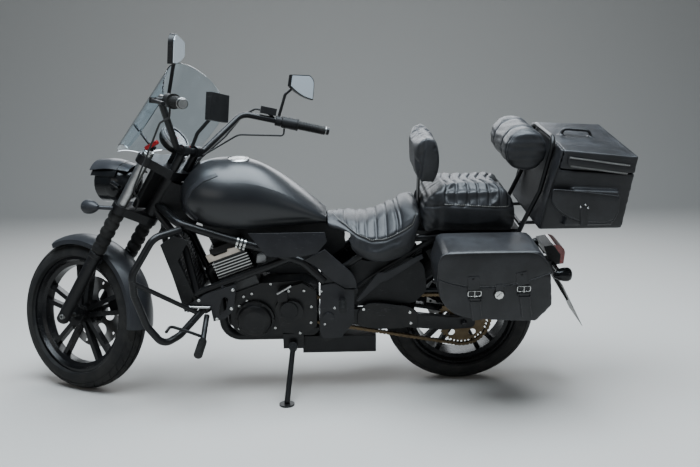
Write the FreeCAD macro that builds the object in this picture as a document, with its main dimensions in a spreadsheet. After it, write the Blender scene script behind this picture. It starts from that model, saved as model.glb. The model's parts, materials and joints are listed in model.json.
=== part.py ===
# Cruiser motorcycle, parked on its side stand with the steering on its right stop.
# Each piece is drawn in the upright frame: X rearward, Y to the rider's right, Z up,
# origin on the ground under the rear axle. Its Placement then steers it and leans it.
import FreeCAD, Part
import math
import os
import re

import Sketcher
from FreeCAD import Placement, Rotation, Vector

doc = FreeCAD.newDocument("cruiser_motorcycle")
sheet = doc.addObject("Spreadsheet::Sheet", "sizes")

# Driving dimensions in millimetres and degrees: alias, value, what it is
SIZES = [
    ("seat_gap", 0.3, "clearance between pieces that seat on each other"),
    ("wheelbase", 1575, "rear axle to front axle"),
    ("rake", 31, "steering axis from the vertical"),
    ("trail", 120, "front contact behind the steering axis"),
    ("lean_angle", 9.9, "lean to the left on the side stand"),
    ("lock_angle", 33, "steering stop to either side"),
    # Front wheel
    ("front_tyre_r", 312.5, "front tyre outer radius"),
    ("front_tyre_half", 60, "front tyre half width"),
    ("front_crown_r", 68, "front tyre crown radius"),
    ("front_bead_r", 228.6, "front rim bead seat radius"),
    ("front_flange_r", 240, "front rim flange radius"),
    ("front_rim_half", 44, "front rim half width"),
    ("front_hub_r", 36, "front hub radius"),
    ("front_hub_half", 56, "front hub half length"),
    ("front_axle_r", 10, "front axle radius"),
    ("front_axle_half", 126, "front axle half length"),
    ("axle_bore_r", 6, "hollow of the front axle ends"),
    ("axle_bore_depth", 30, "depth of that hollow"),
    # Rear wheel
    ("rear_tyre_r", 312.5, "rear tyre outer radius"),
    ("rear_tyre_half", 80, "rear tyre half width"),
    ("rear_crown_r", 88, "rear tyre crown radius"),
    ("rear_bead_r", 215.9, "rear rim bead seat radius"),
    ("rear_flange_r", 228, "rear rim flange radius"),
    ("rear_rim_half", 62, "rear rim half width"),
    ("rear_hub_r", 42, "rear hub radius"),
    ("rear_hub_half", 78, "rear hub half length"),
    ("rear_axle_r", 11, "rear axle radius"),
    ("rear_axle_half", 152, "rear axle half length"),
    # Wheel castings, discs and sprocket
    ("tyre_wall", 9, "tyre carcass thickness"),
    ("rim_wall", 7, "rim barrel thickness"),
    ("rim_well", 17, "depth of the rim well under the bead seat"),
    ("spoke_pairs", 5, "pairs of spokes in a wheel"),
    ("spoke_width", 19, "width of one spoke"),
    ("spoke_thick", 28, "depth of one spoke along the axle"),
    ("spoke_foot", 13, "spoke centre from the pair's middle at the hub"),
    ("spoke_spread", 34, "spoke centre from the pair's middle at the rim"),
    ("running_gap", 0.05, "running clearance of a hub on its axle"),
    ("front_disc_r", 150, "front brake disc radius"),
    ("rear_disc_r", 125, "rear brake disc radius"),
    ("disc_thick", 5, "brake disc thickness"),
    ("disc_band", 34, "swept band of a brake disc"),
    ("disc_holes", 10, "drilled holes in a disc"),
    ("disc_hole_r", 6, "radius of a drilled hole"),
    ("sprocket_r", 103, "rear sprocket tip radius"),
    ("sprocket_teeth", 42, "rear sprocket teeth"),
    ("sprocket_thick", 6, "sprocket thickness"),
    ("tooth_depth", 7, "depth of a sprocket tooth"),
    ("sprocket_windows", 5, "windows in the rear sprocket"),
    ("sprocket_window_r", 15, "radius of a sprocket window"),
    # Fork, in the fork frame: its axis is the steering axis
    ("leg_half", 98.3, "fork leg from the middle plane"),
    ("leg_lead", 67.4, "fork legs ahead of the steering axis"),
    ("tube_r", 20.5, "fork tube radius"),
    ("slider_r", 25, "fork slider radius"),
    ("slider_foot", 34, "slider end below the axle"),
    ("slider_top", 318, "slider top above the axle"),
    ("gaiter_r", 29, "gaiter rib radius"),
    ("gaiter_waist_r", 24, "gaiter radius between ribs"),
    ("gaiter_ribs", 5, "ribs of a gaiter"),
    ("lower_yoke_z", 510, "underside of the lower yoke above the axle"),
    ("upper_yoke_z", 735, "underside of the upper yoke above the axle"),
    ("yoke_thick", 36, "thickness of the yokes"),
    ("yoke_wall", 11, "clamp wall around a fork tube"),
    ("tube_cap", 14, "fork tube standing out of the upper yoke"),
    ("stem_r", 15, "steering stem radius"),
    ("head_tube_r", 27, "frame head tube radius"),
    ("head_gap", 3, "gap between the head tube and the yokes"),
    ("fender_gap", 18, "front fender inside clear of the tyre"),
    ("fender_wall", 4, "front fender thickness"),
    ("fender_half", 68, "front fender outside half width"),
    ("fender_front", -25, "front end of the front fender from the vertical"),
    ("fender_rear", 94, "rear end of the front fender from the vertical"),
    ("fender_skirt", 38, "depth of the front fender's sides"),
    # Lamps and signals
    ("lamp_x", -1392, "headlamp centre from the rear axle"),
    ("lamp_z", 868, "headlamp centre height"),
    ("lamp_r", 82, "headlamp radius"),
    ("lamp_depth", 150, "headlamp depth"),
    ("lamp_wall", 4, "headlamp shell thickness"),
    ("lens_thick", 8, "lamp lens thickness"),
    ("visor_reach", 26, "headlamp visor ahead of the lens"),
    ("signal_half", 205, "front signal end from the middle plane"),
    ("signal_r", 27, "signal housing radius"),
    ("signal_length", 62, "signal housing length"),
    ("stalk_r", 8, "signal stalk radius"),
    # Handlebar
    ("bar_r", 12.7, "handlebar tube radius"),
    ("bar_bend_r", 60, "handlebar bend radius"),
    ("bar_x", -1062, "bar clamp from the rear axle"),
    ("bar_z", 1005, "bar clamp height"),
    ("bar_root", 75, "bar's first bend from the middle plane"),
    ("bar_knee", 252, "bar's outer bend from the middle plane"),
    ("bar_knee_x", -1005, "outer bend from the rear axle"),
    ("bar_knee_z", 1176, "outer bend height"),
    ("grip_end", 470, "bar end from the middle plane"),
    ("grip_end_x", -727, "bar end from the rear axle"),
    ("grip_end_z", 1130, "bar end height"),
    ("grip_length", 128, "grip length"),
    ("grip_r", 17, "grip radius"),
    ("riser_r", 16, "bar riser radius"),
    ("riser_half", 40, "bar riser from the middle plane"),
    ("switch_length", 62, "switch housing length"),
    ("switch_r", 24, "switch housing radius"),
    ("lever_length", 175, "hand lever length"),
    ("mirror_width", 126, "mirror width"),
    ("mirror_height", 100, "mirror height"),
    ("mirror_thick", 16, "mirror shell thickness"),
    ("mirror_half", 395, "mirror centre from the middle plane"),
    ("mirror_x", -812, "mirror centre from the rear axle"),
    ("mirror_z", 1306, "mirror centre height"),
    ("mirror_toe", 22, "mirrors turned in toward the rider"),
    ("glass_thick", 2.5, "mirror glass thickness"),
    ("gauge_r", 58, "instrument pod radius"),
    ("gauge_x", -1150, "instrument pod centre from the rear axle"),
    ("gauge_z", 1040, "instrument pod centre height"),
    ("gauge_depth", 50, "instrument pod depth"),
    ("box_width", 112, "device box width"),
    ("box_height", 104, "device box height"),
    ("box_depth", 26, "device box depth"),
    ("screen_r", 205, "windscreen bend radius"),
    ("screen_wall", 4, "windscreen thickness"),
    ("screen_length", 430, "windscreen length along its slope"),
    ("screen_tilt", 38, "windscreen from the vertical"),
    ("screen_foot_x", -1372, "windscreen foot from the rear axle"),
    ("screen_foot_z", 1000, "windscreen foot height"),
    # Frame
    ("head_x", -1165, "front end of the frame's side tubes"),
    ("frame_half", 140, "frame side tubes from the middle plane"),
    ("frame_tube_r", 17, "frame side tube radius"),
    ("cross_r", 13, "frame cross tube radius"),
    ("rail_half", 112, "rear rail from the middle plane"),
    ("rail_r", 13, "rear rail tube radius"),
    ("pivot_x", -545, "swingarm pivot from the rear axle"),
    ("pivot_z", 360, "swingarm pivot height"),
    ("pivot_r", 12, "swingarm pivot shaft radius"),
    ("plate_thick", 14, "pivot plate thickness"),
    # Engine
    ("case_half", 118, "crankcase half width"),
    ("case_front", -935, "crankcase front"),
    ("case_rear", -585, "crankcase rear"),
    ("case_top", 505, "crankcase top at the rear"),
    ("case_floor", 262, "crankcase underside"),
    ("cylinder_x", -878, "cylinder foot from the rear axle"),
    ("cylinder_z", 470, "cylinder foot height"),
    ("cylinder_tilt", 20, "cylinders leaning forward"),
    ("cylinder_half", 112, "cylinder block half width"),
    ("cylinder_depth", 132, "cylinder block front to rear"),
    ("cylinder_height", 150, "cylinder block height"),
    ("head_height", 46, "head cover height"),
    ("fin_count", 8, "cooling fins"),
    ("fin_pitch", 12, "fin spacing"),
    ("fin_thick", 4, "fin thickness"),
    ("fin_reach", 7, "fin beyond the cylinder block"),
    ("generator_x", -839, "generator cover from the rear axle"),
    ("generator_z", 344, "generator cover height"),
    ("generator_r", 78, "generator cover radius"),
    ("generator_depth", 38, "generator cover depth"),
    ("clutch_x", -770, "clutch cover from the rear axle"),
    ("clutch_z", 372, "clutch cover height"),
    ("clutch_r", 98, "clutch cover radius"),
    ("clutch_depth", 34, "clutch cover depth"),
    ("cover_bolts", 6, "bolts round a cover"),
    ("cover_bolt_r", 6, "cover bolt head radius"),
    ("radiator_x", -1114, "radiator middle from the rear axle"),
    ("radiator_z", 520, "radiator middle height"),
    ("radiator_half", 150, "radiator half width"),
    ("radiator_height", 250, "radiator height"),
    ("radiator_depth", 34, "radiator depth"),
    ("radiator_slats", 14, "slats of the radiator grille"),
    ("radiator_tilt", 20, "radiator leaning back"),
    ("header_r", 19, "exhaust header radius"),
    ("header_half", 48, "exhaust header from the middle plane"),
    ("muffler_half", 104, "muffler box half width"),
    ("muffler_front", -652, "muffler box front"),
    ("muffler_rear", -352, "muffler box rear"),
    ("muffler_floor", 165, "muffler box underside"),
    ("muffler_top", 250, "muffler box top"),
    ("outlet_r", 36, "exhaust outlet radius"),
    # Tank, covers and seats
    ("tank_front", -1108, "tank front"),
    ("tank_rear", -548, "tank rear"),
    ("tank_half", 158, "tank half width"),
    ("tank_top", 976, "tank top height"),
    ("tank_floor", 726, "tank underside height"),
    ("cap_x", -884, "fuel cap from the rear axle"),
    ("cap_r", 42, "fuel cap radius"),
    ("cap_height", 10, "fuel cap above its seat"),
    ("cover_half", 150, "side cover outside from the middle plane"),
    ("cover_wall", 5, "cover wall thickness"),
    ("saddle_half", 176, "rider seat half width"),
    ("saddle_top", 808, "rider seat highest point"),
    ("saddle_foot", 588, "rider seat lowest point"),
    ("tunnel_half", 132, "tunnel under the rider seat, half width"),
    ("tunnel_top", 705, "tunnel under the rider seat, height"),
    ("pillion_front", -172, "passenger seat front"),
    ("pillion_rear", 172, "passenger seat rear"),
    ("pillion_half", 132, "passenger seat half width"),
    ("pillion_top", 872, "passenger seat top height"),
    ("pillion_foot", 704, "passenger seat underside height"),
    ("bracket_thick", 6, "rider backrest bracket thickness"),
    ("pad_front", -205, "rider backrest front"),
    ("pad_half", 140, "rider backrest half width"),
    ("pad_foot", 905, "rider backrest lower edge height"),
    ("pad_height", 170, "rider backrest height"),
    ("pad_thick", 78, "rider backrest thickness"),
    ("roll_z", 1024, "roll pad middle height"),
    ("roll_half", 165, "roll pad half width"),
    ("roll_r", 82, "roll pad radius"),
    # Rear end
    ("rear_fender_gap", 52, "rear fender inside clear of the tyre"),
    ("rear_fender_half", 98, "rear fender outside half width"),
    ("rear_fender_front", -28, "front end of the rear fender from the vertical"),
    ("rear_fender_rear", 58, "rear end of the rear fender from the vertical"),
    ("rear_fender_skirt", 70, "depth of the rear fender's sides"),
    ("tail_x", 382, "tail lamp middle from the rear axle"),
    ("tail_z", 575, "tail lamp middle height"),
    ("tail_half", 62, "tail lamp half width"),
    ("plate_top_x", 400, "number plate top from the rear axle"),
    ("plate_top_z", 452, "number plate top height"),
    ("plate_width", 180, "number plate width"),
    ("plate_height", 210, "number plate height"),
    ("plate_thin", 2, "number plate thickness"),
    ("plate_slant", 28, "number plate from the vertical"),
    ("arm_half", 119, "swingarm beam from the middle plane"),
    ("arm_width", 26, "swingarm beam width"),
    ("arm_height", 56, "swingarm beam height"),
    ("chain_half", 96, "chain line from the middle plane"),
    ("chain_width", 16, "chain width"),
    ("chain_height", 15, "chain plate height"),
    ("chain_waist", 3.5, "how far a chain plate is drawn in between its pins"),
    ("chain_pitch", 15.9, "chain pin to chain pin"),
    ("front_sprocket_r", 40, "gearbox sprocket radius"),
    ("shock_r", 28, "shock absorber spring radius"),
    ("shock_coils", 7, "shock absorber spring coils"),
    ("shock_pin_r", 9, "shock absorber pin radius"),
    # Luggage
    ("bag_inner", 192, "saddlebag inner face from the middle plane"),
    ("bag_outer", 402, "saddlebag outer face from the middle plane"),
    ("bag_front", -152, "saddlebag front"),
    ("bag_rear", 268, "saddlebag rear"),
    ("bag_floor", 452, "saddlebag underside"),
    ("bag_split", 636, "saddlebag mouth height"),
    ("bag_top", 724, "saddlebag lid height"),
    ("bag_wall", 7, "saddlebag wall thickness"),
    ("top_front", 246, "top bag front at the bottom"),
    ("top_rear", 560, "top bag rear at the bottom"),
    ("top_half", 222, "top bag half width"),
    ("top_floor", 740, "top bag underside"),
    ("top_split", 985, "top bag mouth height"),
    ("top_height", 1062, "top bag lid height"),
    ("top_lean", 64, "top bag's top behind its bottom"),
    ("top_wall", 8, "top bag wall thickness"),
    ("lid_relief", 4, "corner cut off the lid's front edge so that it lifts clear"),
    ("sissy_half", 146, "sissy bar leg from the middle plane"),
    ("sissy_r", 9, "sissy bar tube radius"),
    ("rack_r", 7, "rack tube radius"),
    # Guards, controls and stand
    ("guard_half", 290, "engine guard's widest point from the middle plane"),
    ("guard_r", 14, "engine guard tube radius"),
    ("peg_x", -1030, "rider peg from the rear axle"),
    ("peg_z", 318, "rider peg height"),
    ("peg_half", 370, "rider peg end from the middle plane"),
    ("peg_length", 118, "rider peg length"),
    ("peg_r", 14, "rider peg radius"),
    ("pillion_peg_x", -489, "passenger peg from the rear axle"),
    ("pillion_peg_z", 435, "passenger peg height"),
    ("stand_x", -690, "side stand pivot from the rear axle"),
    ("cable_r", 3.5, "control cable radius"),
    ("hose_r", 4, "brake hose radius"),
    ("cowl_inner", 160.5, "lower cowl's inner face from the middle plane"),
    ("cowl_thick", 6, "lower cowl thickness"),
    ("stand_y", 148.2, "side stand pivot left of the middle plane"),
    ("stand_z", 226, "side stand pivot height"),
    ("foot_x", -713, "side stand foot from the rear axle, on the ground"),
    ("foot_y", 300, "side stand foot left of the tyres, on the ground"),
    ("stand_leg_r", 11, "side stand leg radius"),
    ("foot_r", 30, "side stand foot radius"),
    ("foot_thick", 7, "side stand foot thickness"),
]


def load_sheet():
    """Write each size into its own cell and give the cell its alias."""
    for row, (alias, number, meaning) in enumerate(SIZES, start=1):
        sheet.set(f"A{row}", meaning)
        sheet.set(f"B{row}", str(number))
        sheet.setAlias(f"B{row}", alias)
    doc.recompute()


def bound(text):
    """The text as an expression on the sheet, with each alias pointing at its cell."""
    return re.sub(r"[a-z][a-z0-9_]*", lambda word: f"sizes.{word[0]}" if word[0] in ALIASES else word[0],
                  str(text))


def size(text):
    """The number that an expression on the sheet gives."""
    return float(sheet.evalExpression(bound(text)))


def sizes(*texts):
    """The numbers that several expressions on the sheet give."""
    return [size(text) for text in texts]


def bind(thing, name, text):
    """Tie a property to an expression on the sheet."""
    thing.setExpression(name, bound(text))


def at(x, y, z):
    """A point whose coordinates are expressions on the sheet."""
    return Vector(*sizes(x, y, z))


ALIASES = {alias for alias, number, meaning in SIZES}
load_sheet()

# Building blocks: bodies, sketches, features, primitives and tubes


def body(name, place=None):
    """An empty part design body, in its own frame."""
    made = doc.addObject("PartDesign::Body", name)
    made.AllowCompound = True
    if place:
        made.Placement = place
    return made


def origin_part(owner, role):
    """A body's own origin plane or axis."""
    return next(part for part in owner.Origin.OriginFeatures if part.Role == role)


def sketch(owner, plane, outlines, offset="0"):
    """A sketch on an origin plane. An outline is a list of corners (u, v), or
    (u, v, via_u, via_v) where the edge from that corner is an arc through the via point."""
    drawn = owner.newObject("Sketcher::SketchObject", owner.Name + "_sketch")
    drawn.AttachmentSupport = [(origin_part(owner, plane), "")]
    drawn.MapMode = "FlatFace"
    bind(drawn, "AttachmentOffset.Base.z", offset)
    for outline in outlines:
        if outline[0] == "circle":
            add_circle(drawn, *outline[1:])
        else:
            add_outline(drawn, outline)
    return drawn


def pin(drawn, edge, end, u, v):
    """Hold a point of an edge at two expressions."""
    for kind, text in (("DistanceX", u), ("DistanceY", v)):
        held = drawn.addConstraint(Sketcher.Constraint(kind, -1, 1, edge, end, size(text)))
        drawn.setExpression(f"Constraints[{held}]", bound(text))


def add_circle(drawn, u, v, radius):
    """A circle held at its centre and radius."""
    centre = Vector(size(u), size(v), 0)
    edge = drawn.addGeometry(Part.Circle(centre, Vector(0, 0, 1), size(radius)), False)
    pin(drawn, edge, 3, u, v)
    held = drawn.addConstraint(Sketcher.Constraint("Radius", edge, size(radius)))
    drawn.setExpression(f"Constraints[{held}]", bound(radius))


def add_outline(drawn, outline):
    """A closed outline of lines and arcs, each corner held by two expressions."""
    ends = []
    for here, following in zip(outline, outline[1:] + outline[:1]):
        start = Vector(size(here[0]), size(here[1]), 0)
        finish = Vector(size(following[0]), size(following[1]), 0)
        if len(here) == 2:
            edge = drawn.addGeometry(Part.LineSegment(start, finish), False)
            ends.append((edge, 1, 2))
            continue
        via = Vector(size(here[2]), size(here[3]), 0)
        if (via - start).cross(finish - via).z > 0:
            edge = drawn.addGeometry(Part.Arc(start, via, finish), False)
            ends.append((edge, 1, 2))
        else:
            edge = drawn.addGeometry(Part.Arc(finish, via, start), False)
            ends.append((edge, 2, 1))
        dot = drawn.addGeometry(Part.Point(via), True)
        drawn.addConstraint(Sketcher.Constraint("PointOnObject", dot, 1, edge))
        pin(drawn, dot, 1, here[2], here[3])
    for corner, (edge, first, last), (after, after_first, after_last) in zip(
        outline[1:] + outline[:1], ends, ends[1:] + ends[:1]
    ):
        drawn.addConstraint(Sketcher.Constraint("Coincident", edge, last, after, after_first))
        pin(drawn, after, after_first, corner[0], corner[1])


def pad(owner, plane, outlines, length, offset="0", both=False, back=False):
    """Add the outlines' thickness, along the plane's normal, backward or both ways."""
    made = owner.newObject("PartDesign::Pad", owner.Name + "_pad")
    made.Profile = sketch(owner, plane, outlines, offset)
    bind(made, "Length", length)
    made.SideType = "Symmetric" if both else "One side"
    made.Reversed = back
    return made


def pocket(owner, plane, outlines, length, offset="0", both=False, back=False):
    """Cut the outlines' thickness out of the body, and see that it took something."""
    doc.recompute()
    before = owner.Shape.Volume
    made = owner.newObject("PartDesign::Pocket", owner.Name + "_pocket")
    made.Profile = sketch(owner, plane, outlines, offset)
    bind(made, "Length", length)
    made.SideType = "Symmetric" if both else "One side"
    made.Reversed = back
    doc.recompute()
    if owner.Shape.Volume > before - 0.001:
        raise ValueError(f"{made.Name} cuts nothing")
    return made


def turn(owner, plane, outlines, axis, angle="360", groove=False):
    """Revolve the outlines about the sketch's own H_Axis or V_Axis, evenly about its plane."""
    kind = "PartDesign::Groove" if groove else "PartDesign::Revolution"
    made = owner.newObject(kind, owner.Name + "_turn")
    drawn = sketch(owner, plane, outlines)
    made.Profile = drawn
    made.ReferenceAxis = (drawn, [axis])
    made.Midplane = True
    bind(made, "Angle", angle)
    return made


def around(owner, feature, role, count):
    """Repeat a feature evenly round an origin axis."""
    made = owner.newObject("PartDesign::PolarPattern", owner.Name + "_ring")
    made.Originals = [feature]
    made.Axis = (origin_part(owner, role), [""])
    made.Angle = 360
    bind(made, "Occurrences", count)
    owner.Tip = made
    return made


def along(owner, feature, role, length, count):
    """Repeat a feature evenly along an origin axis, over a length."""
    made = owner.newObject("PartDesign::LinearPattern", owner.Name + "_row")
    made.Originals = [feature]
    made.Direction = (origin_part(owner, role), [""])
    bind(made, "Length", length)
    bind(made, "Occurrences", count)
    owner.Tip = made
    return made


def loft(owner, plane, sections):
    """Skin a row of outlines, each given with its offset from the plane."""
    drawn = [sketch(owner, plane, [outline], offset) for offset, outline in sections]
    made = owner.newObject("PartDesign::AdditiveLoft", owner.Name + "_loft")
    made.Profile = drawn[0]
    made.Sections = drawn[1:]
    return made


def block(name, x, y, z, length, width, height):
    """A box by its least corner and its three sizes."""
    made = doc.addObject("Part::Box", name)
    for side, text in (("Length", length), ("Width", width), ("Height", height)):
        bind(made, side, text)
    for axis, text in (("x", x), ("y", y), ("z", z)):
        bind(made, f"Placement.Base.{axis}", text)
    return made


def rod(name, start, finish, radius):
    """A round bar between two points."""
    made = doc.addObject("Part::Cylinder", name)
    bind(made, "Radius", radius)
    made.Height = start.distanceToPoint(finish)
    made.Placement = Placement(start, Rotation(Vector(0, 0, 1), finish - start))
    return made


def bent_path(points, bend):
    """Straight runs through the points, joined by tangent arcs that fit their runs."""
    edges = []
    start = points[0]
    for before, corner, after in zip(points, points[1:], points[2:]):
        back = (before - corner).normalize()
        ahead = (after - corner).normalize()
        half_turn = (math.pi - back.getAngle(ahead)) / 2
        run = min(before.distanceToPoint(corner), after.distanceToPoint(corner))
        radius = min(bend, 0.45 * run / math.tan(half_turn))
        cut = radius * math.tan(half_turn)
        inward = (back + ahead).normalize() * (radius / math.cos(half_turn) - radius)
        edges.append(Part.LineSegment(start, corner + back * cut).toShape())
        edges.append(Part.Arc(corner + back * cut, corner + inward, corner + ahead * cut).toShape())
        start = corner + ahead * cut
    edges.append(Part.LineSegment(start, points[-1]).toShape())
    return Part.Wire(edges)


def tube(name, points, radius, bend):
    """A round tube or bar bent along the points."""
    wire = bent_path(points, size(bend))
    spine = doc.addObject("Part::Feature", name + "_path")
    spine.Shape = wire
    ring = doc.addObject("Part::Circle", name + "_ring")
    bind(ring, "Radius", radius)
    ring.Placement = Placement(points[0], Rotation(Vector(0, 0, 1), points[1] - points[0]))
    made = doc.addObject("Part::Sweep", name)
    made.Sections = [ring]
    made.Spine = (spine, [f"Edge{number + 1}" for number in range(len(wire.Edges))])
    made.Solid = True
    return made


def fuse(name, pieces):
    """One solid of several that meet, joined one after another."""
    whole = pieces[0]
    for piece in pieces[1:]:
        joined = doc.addObject("Part::Fuse", name)
        joined.Base = whole
        joined.Tool = piece
        whole = joined
    return whole


def cut(name, base, tools):
    """A solid with others taken out of it, which must take something."""
    tool = tools[0] if len(tools) == 1 else fuse(name + "_tools", tools)
    made = doc.addObject("Part::Cut", name)
    made.Base = base
    made.Tool = tool
    doc.recompute()
    if made.Shape.Volume > base.Shape.Volume - 0.001:
        raise ValueError(f"{name} cuts nothing")
    return made


def group(name, pieces):
    """Solids that share a node and don't touch."""
    made = doc.addObject("Part::Compound", name)
    made.Links = pieces
    return made


def mirrored(piece):
    """The same piece on the other side of the middle plane."""
    made = doc.addObject("Part::Mirroring", piece.Name + "_mirror")
    made.Source = piece
    made.Normal = Vector(0, 1, 0)
    return made


def both_sides(name, piece):
    """A left and right pair in one node."""
    return group(name, [piece, mirrored(piece)])


def box_outline(u0, v0, u1, v1):
    """A rectangle's corners."""
    return [(u0, v0), (u1, v0), (u1, v1), (u0, v1)]


# The sub-parts that are written out: label, object, and the body that it rides on
NODES = []


def node(label, made, rides):
    """Give a finished piece its label and the frame that it rides in."""
    made.Label = label
    NODES.append((label, made, rides))
    return made


# Corners of the cable's and the hose's runs in the fork frame
CABLE_RUN = [(26, 240, 957), (-30, 150, 800), (-20, 140, 640), (-24, 70, 592)]
HOSE_RUN = [(-34, 172, 800), (-34, 166, 640), (-30, 160, 520), (-24, 150, 430), (-18, 118, 310),
            (-14, 84, 215)]

# Frames


def turned(axis, angle):
    """A rotation about one axis through the origin."""
    return Placement(Vector(), Rotation(axis, angle))


def shifted(x, y, z):
    """A move with no turn."""
    return Placement(at(x, y, z), Rotation())


AXIS_X = Vector(1, 0, 0)
AXIS_Y = Vector(0, 1, 0)
AXIS_Z = Vector(0, 0, 1)
FORK_OFFSET = "(front_tyre_r*sin(rake)-trail*cos(rake))"
FRONT_WHEEL = shifted("-wheelbase", "0", "front_tyre_r")
REAR_WHEEL = shifted("0", "0", "rear_tyre_r")
FORK = FRONT_WHEEL * turned(AXIS_Y, size("rake")) * shifted(FORK_OFFSET, "0", "0")
HEAD_TUBE_FOOT = "(lower_yoke_z+yoke_thick+head_gap)"
HEAD_TUBE_TOP = "(upper_yoke_z-head_gap)"
YOKE_REAR = "(stem_r+28)"
YOKE_REAR_HALF = "(riser_half+riser_r)"


def steered():
    """The turn to the right stop, about the steering axis."""
    return FORK * turned(AXIS_Z, -size("lock_angle")) * FORK.inverse()


def lowest(centre, axle, outer, crown):
    """Height of a tyre's lowest point, for its axle's place and direction."""
    return centre.z - (outer - crown) * math.sqrt(1 - axle.z ** 2) - crown


def standing():
    """The lean, and the small pitch and lift that put both tyres on the ground."""
    lean = turned(AXIS_X, size("lean_angle"))
    pitch = 0.0
    lift = 0.0
    for attempt in range(6):
        pose = shifted("0", "0", "0")
        pose.Base = Vector(0, 0, lift)
        pose = pose * lean * turned(AXIS_Y, pitch)
        rear = pose * REAR_WHEEL
        front = pose * steered() * FRONT_WHEEL
        rear_low = lowest(rear.Base, rear.Rotation.multVec(AXIS_Y), *sizes("rear_tyre_r", "rear_crown_r"))
        front_low = lowest(front.Base, front.Rotation.multVec(AXIS_Y),
                           *sizes("front_tyre_r", "front_crown_r"))
        lift -= rear_low
        pitch -= math.degrees(math.atan2(front_low - rear_low, size("wheelbase")))
    return pose


STANDING = standing()
RIDES = {
    "chassis": STANDING,
    "rear_wheel": STANDING,
    "steering": STANDING * steered(),
    "front_wheel": STANDING * steered(),
    "ground": Placement(),
}

# Wheels: drawn about the wheel's own centre, the axle along Y


def crown_bands(crown, outer, half, steps):
    """Corners of the flat bands that round a tyre's crown, the middle one between the lean angles."""
    lean = size("lean_angle")
    reach = math.degrees(math.asin(size(half) / size(crown)))
    angles = [lean + (reach - lean) * step / steps for step in range(steps)]
    inner = [(f"{crown}*sin({angle})", f"{outer}-{crown}+{crown}*cos({angle})") for angle in angles]
    return [(f"-({across})", up) for across, up in reversed(inner)] + inner


def tyre(end):
    """A hollow carcass: crown bands, side walls down to the beads, open toward the rim."""
    wheel = FRONT_WHEEL if end == "front" else REAR_WHEEL
    made = body(f"{end}_tyre_body", wheel)
    outer, crown, half = f"{end}_tyre_r", f"{end}_crown_r", f"{end}_tyre_half"
    shoulder = f"({outer}-{crown}+sqrt({crown}^2-{half}^2))"
    bead, flange = f"({end}_bead_r+seat_gap)", f"({end}_flange_r+2)"
    foot, lip = f"({end}_rim_half-6.5-seat_gap)", f"({end}_rim_half+1)"
    inner_half, inner_crown = f"({half}-tyre_wall)", f"({crown}-tyre_wall)"
    middle = f"(({shoulder}+{flange})/2)"
    turn(made, "YZ_Plane", [[
        (f"-{half}", shoulder), *crown_bands(crown, outer, half, 3), (half, shoulder),
        (f"{half}-1", middle), (lip, flange), (foot, flange), (foot, bead), (f"{foot}-12", bead),
        (inner_half, shoulder), *reversed(crown_bands(inner_crown, f"({outer}-tyre_wall)", inner_half, 1)),
        (f"-{inner_half}", shoulder), (f"-({foot}-12)", bead), (f"-{foot}", bead), (f"-{foot}", flange),
        (f"-{lip}", flange), (f"-({half}-1)", middle),
    ]], "H_Axis")
    return node(f"{end}_tyre", made, f"{end}_wheel")


def rim(end):
    """A cast rim: barrel with well and flanges, hub, and pairs of spokes between them."""
    wheel = FRONT_WHEEL if end == "front" else REAR_WHEEL
    made = body(f"{end}_rim_body", wheel)
    half, bead, flange = f"{end}_rim_half", f"{end}_bead_r", f"{end}_flange_r"
    well = f"({bead}-rim_well)"
    inside = f"({well}-rim_wall)"
    hub_r, hub_half = f"{end}_hub_r", f"{end}_hub_half"
    left_half = hub_half if end == "front" else "(chain_half-sprocket_thick/2-seat_gap)"
    bore = f"({end}_axle_r+running_gap)"
    barrel = [
        (f"-{half}", flange), (f"-{half}+6", flange), (f"-{half}+6.5", bead), (f"-{half}+20", f"{bead}-2"),
        (f"-{half}+27", well), (f"{half}-27", well), (f"{half}-20", f"{bead}-2"), (f"{half}-6.5", bead),
        (f"{half}-6", flange), (half, flange), (half, f"{bead}-1"), (f"{half}-16", f"{bead}-2-rim_wall"),
        (f"{half}-24", inside), (f"-{half}+24", inside), (f"-{half}+16", f"{bead}-2-rim_wall"),
        (f"-{half}", f"{bead}-1"),
    ]
    hub = [
        (f"-{left_half}", bore), (hub_half, bore), (hub_half, f"{hub_r}+14"),
        (f"{hub_half}-8", f"{hub_r}+14"),
        (f"{hub_half}-14", hub_r), (f"-{left_half}+14", hub_r), (f"-{left_half}+8", f"{hub_r}+8"),
        (f"-{left_half}", f"{hub_r}+8"),
    ]
    turn(made, "YZ_Plane", [barrel, hub], "H_Axis")
    foot_z, rim_z = f"({hub_r}-4)", f"({inside}+2)"
    pair = [
        [(f"{side}*spoke_foot-spoke_width/2", foot_z), (f"{side}*spoke_foot+spoke_width/2", foot_z),
         (f"{side}*spoke_spread+spoke_width/2", rim_z), (f"{side}*spoke_spread-spoke_width/2", rim_z)]
        for side in (-1, 1)
    ]
    spokes = [
        pad(made, "XZ_Plane", [outline], "spoke_thick", both=True) for outline in pair
    ]
    doc.recompute()
    made_ring = made.newObject("PartDesign::PolarPattern", f"{end}_spoke_ring")
    made_ring.Originals = spokes
    made_ring.Axis = (origin_part(made, "Y_Axis"), [""])
    made_ring.Angle = 360
    bind(made_ring, "Occurrences", "spoke_pairs")
    made.Tip = made_ring
    return node(f"{end}_rim", made, f"{end}_wheel")


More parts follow.
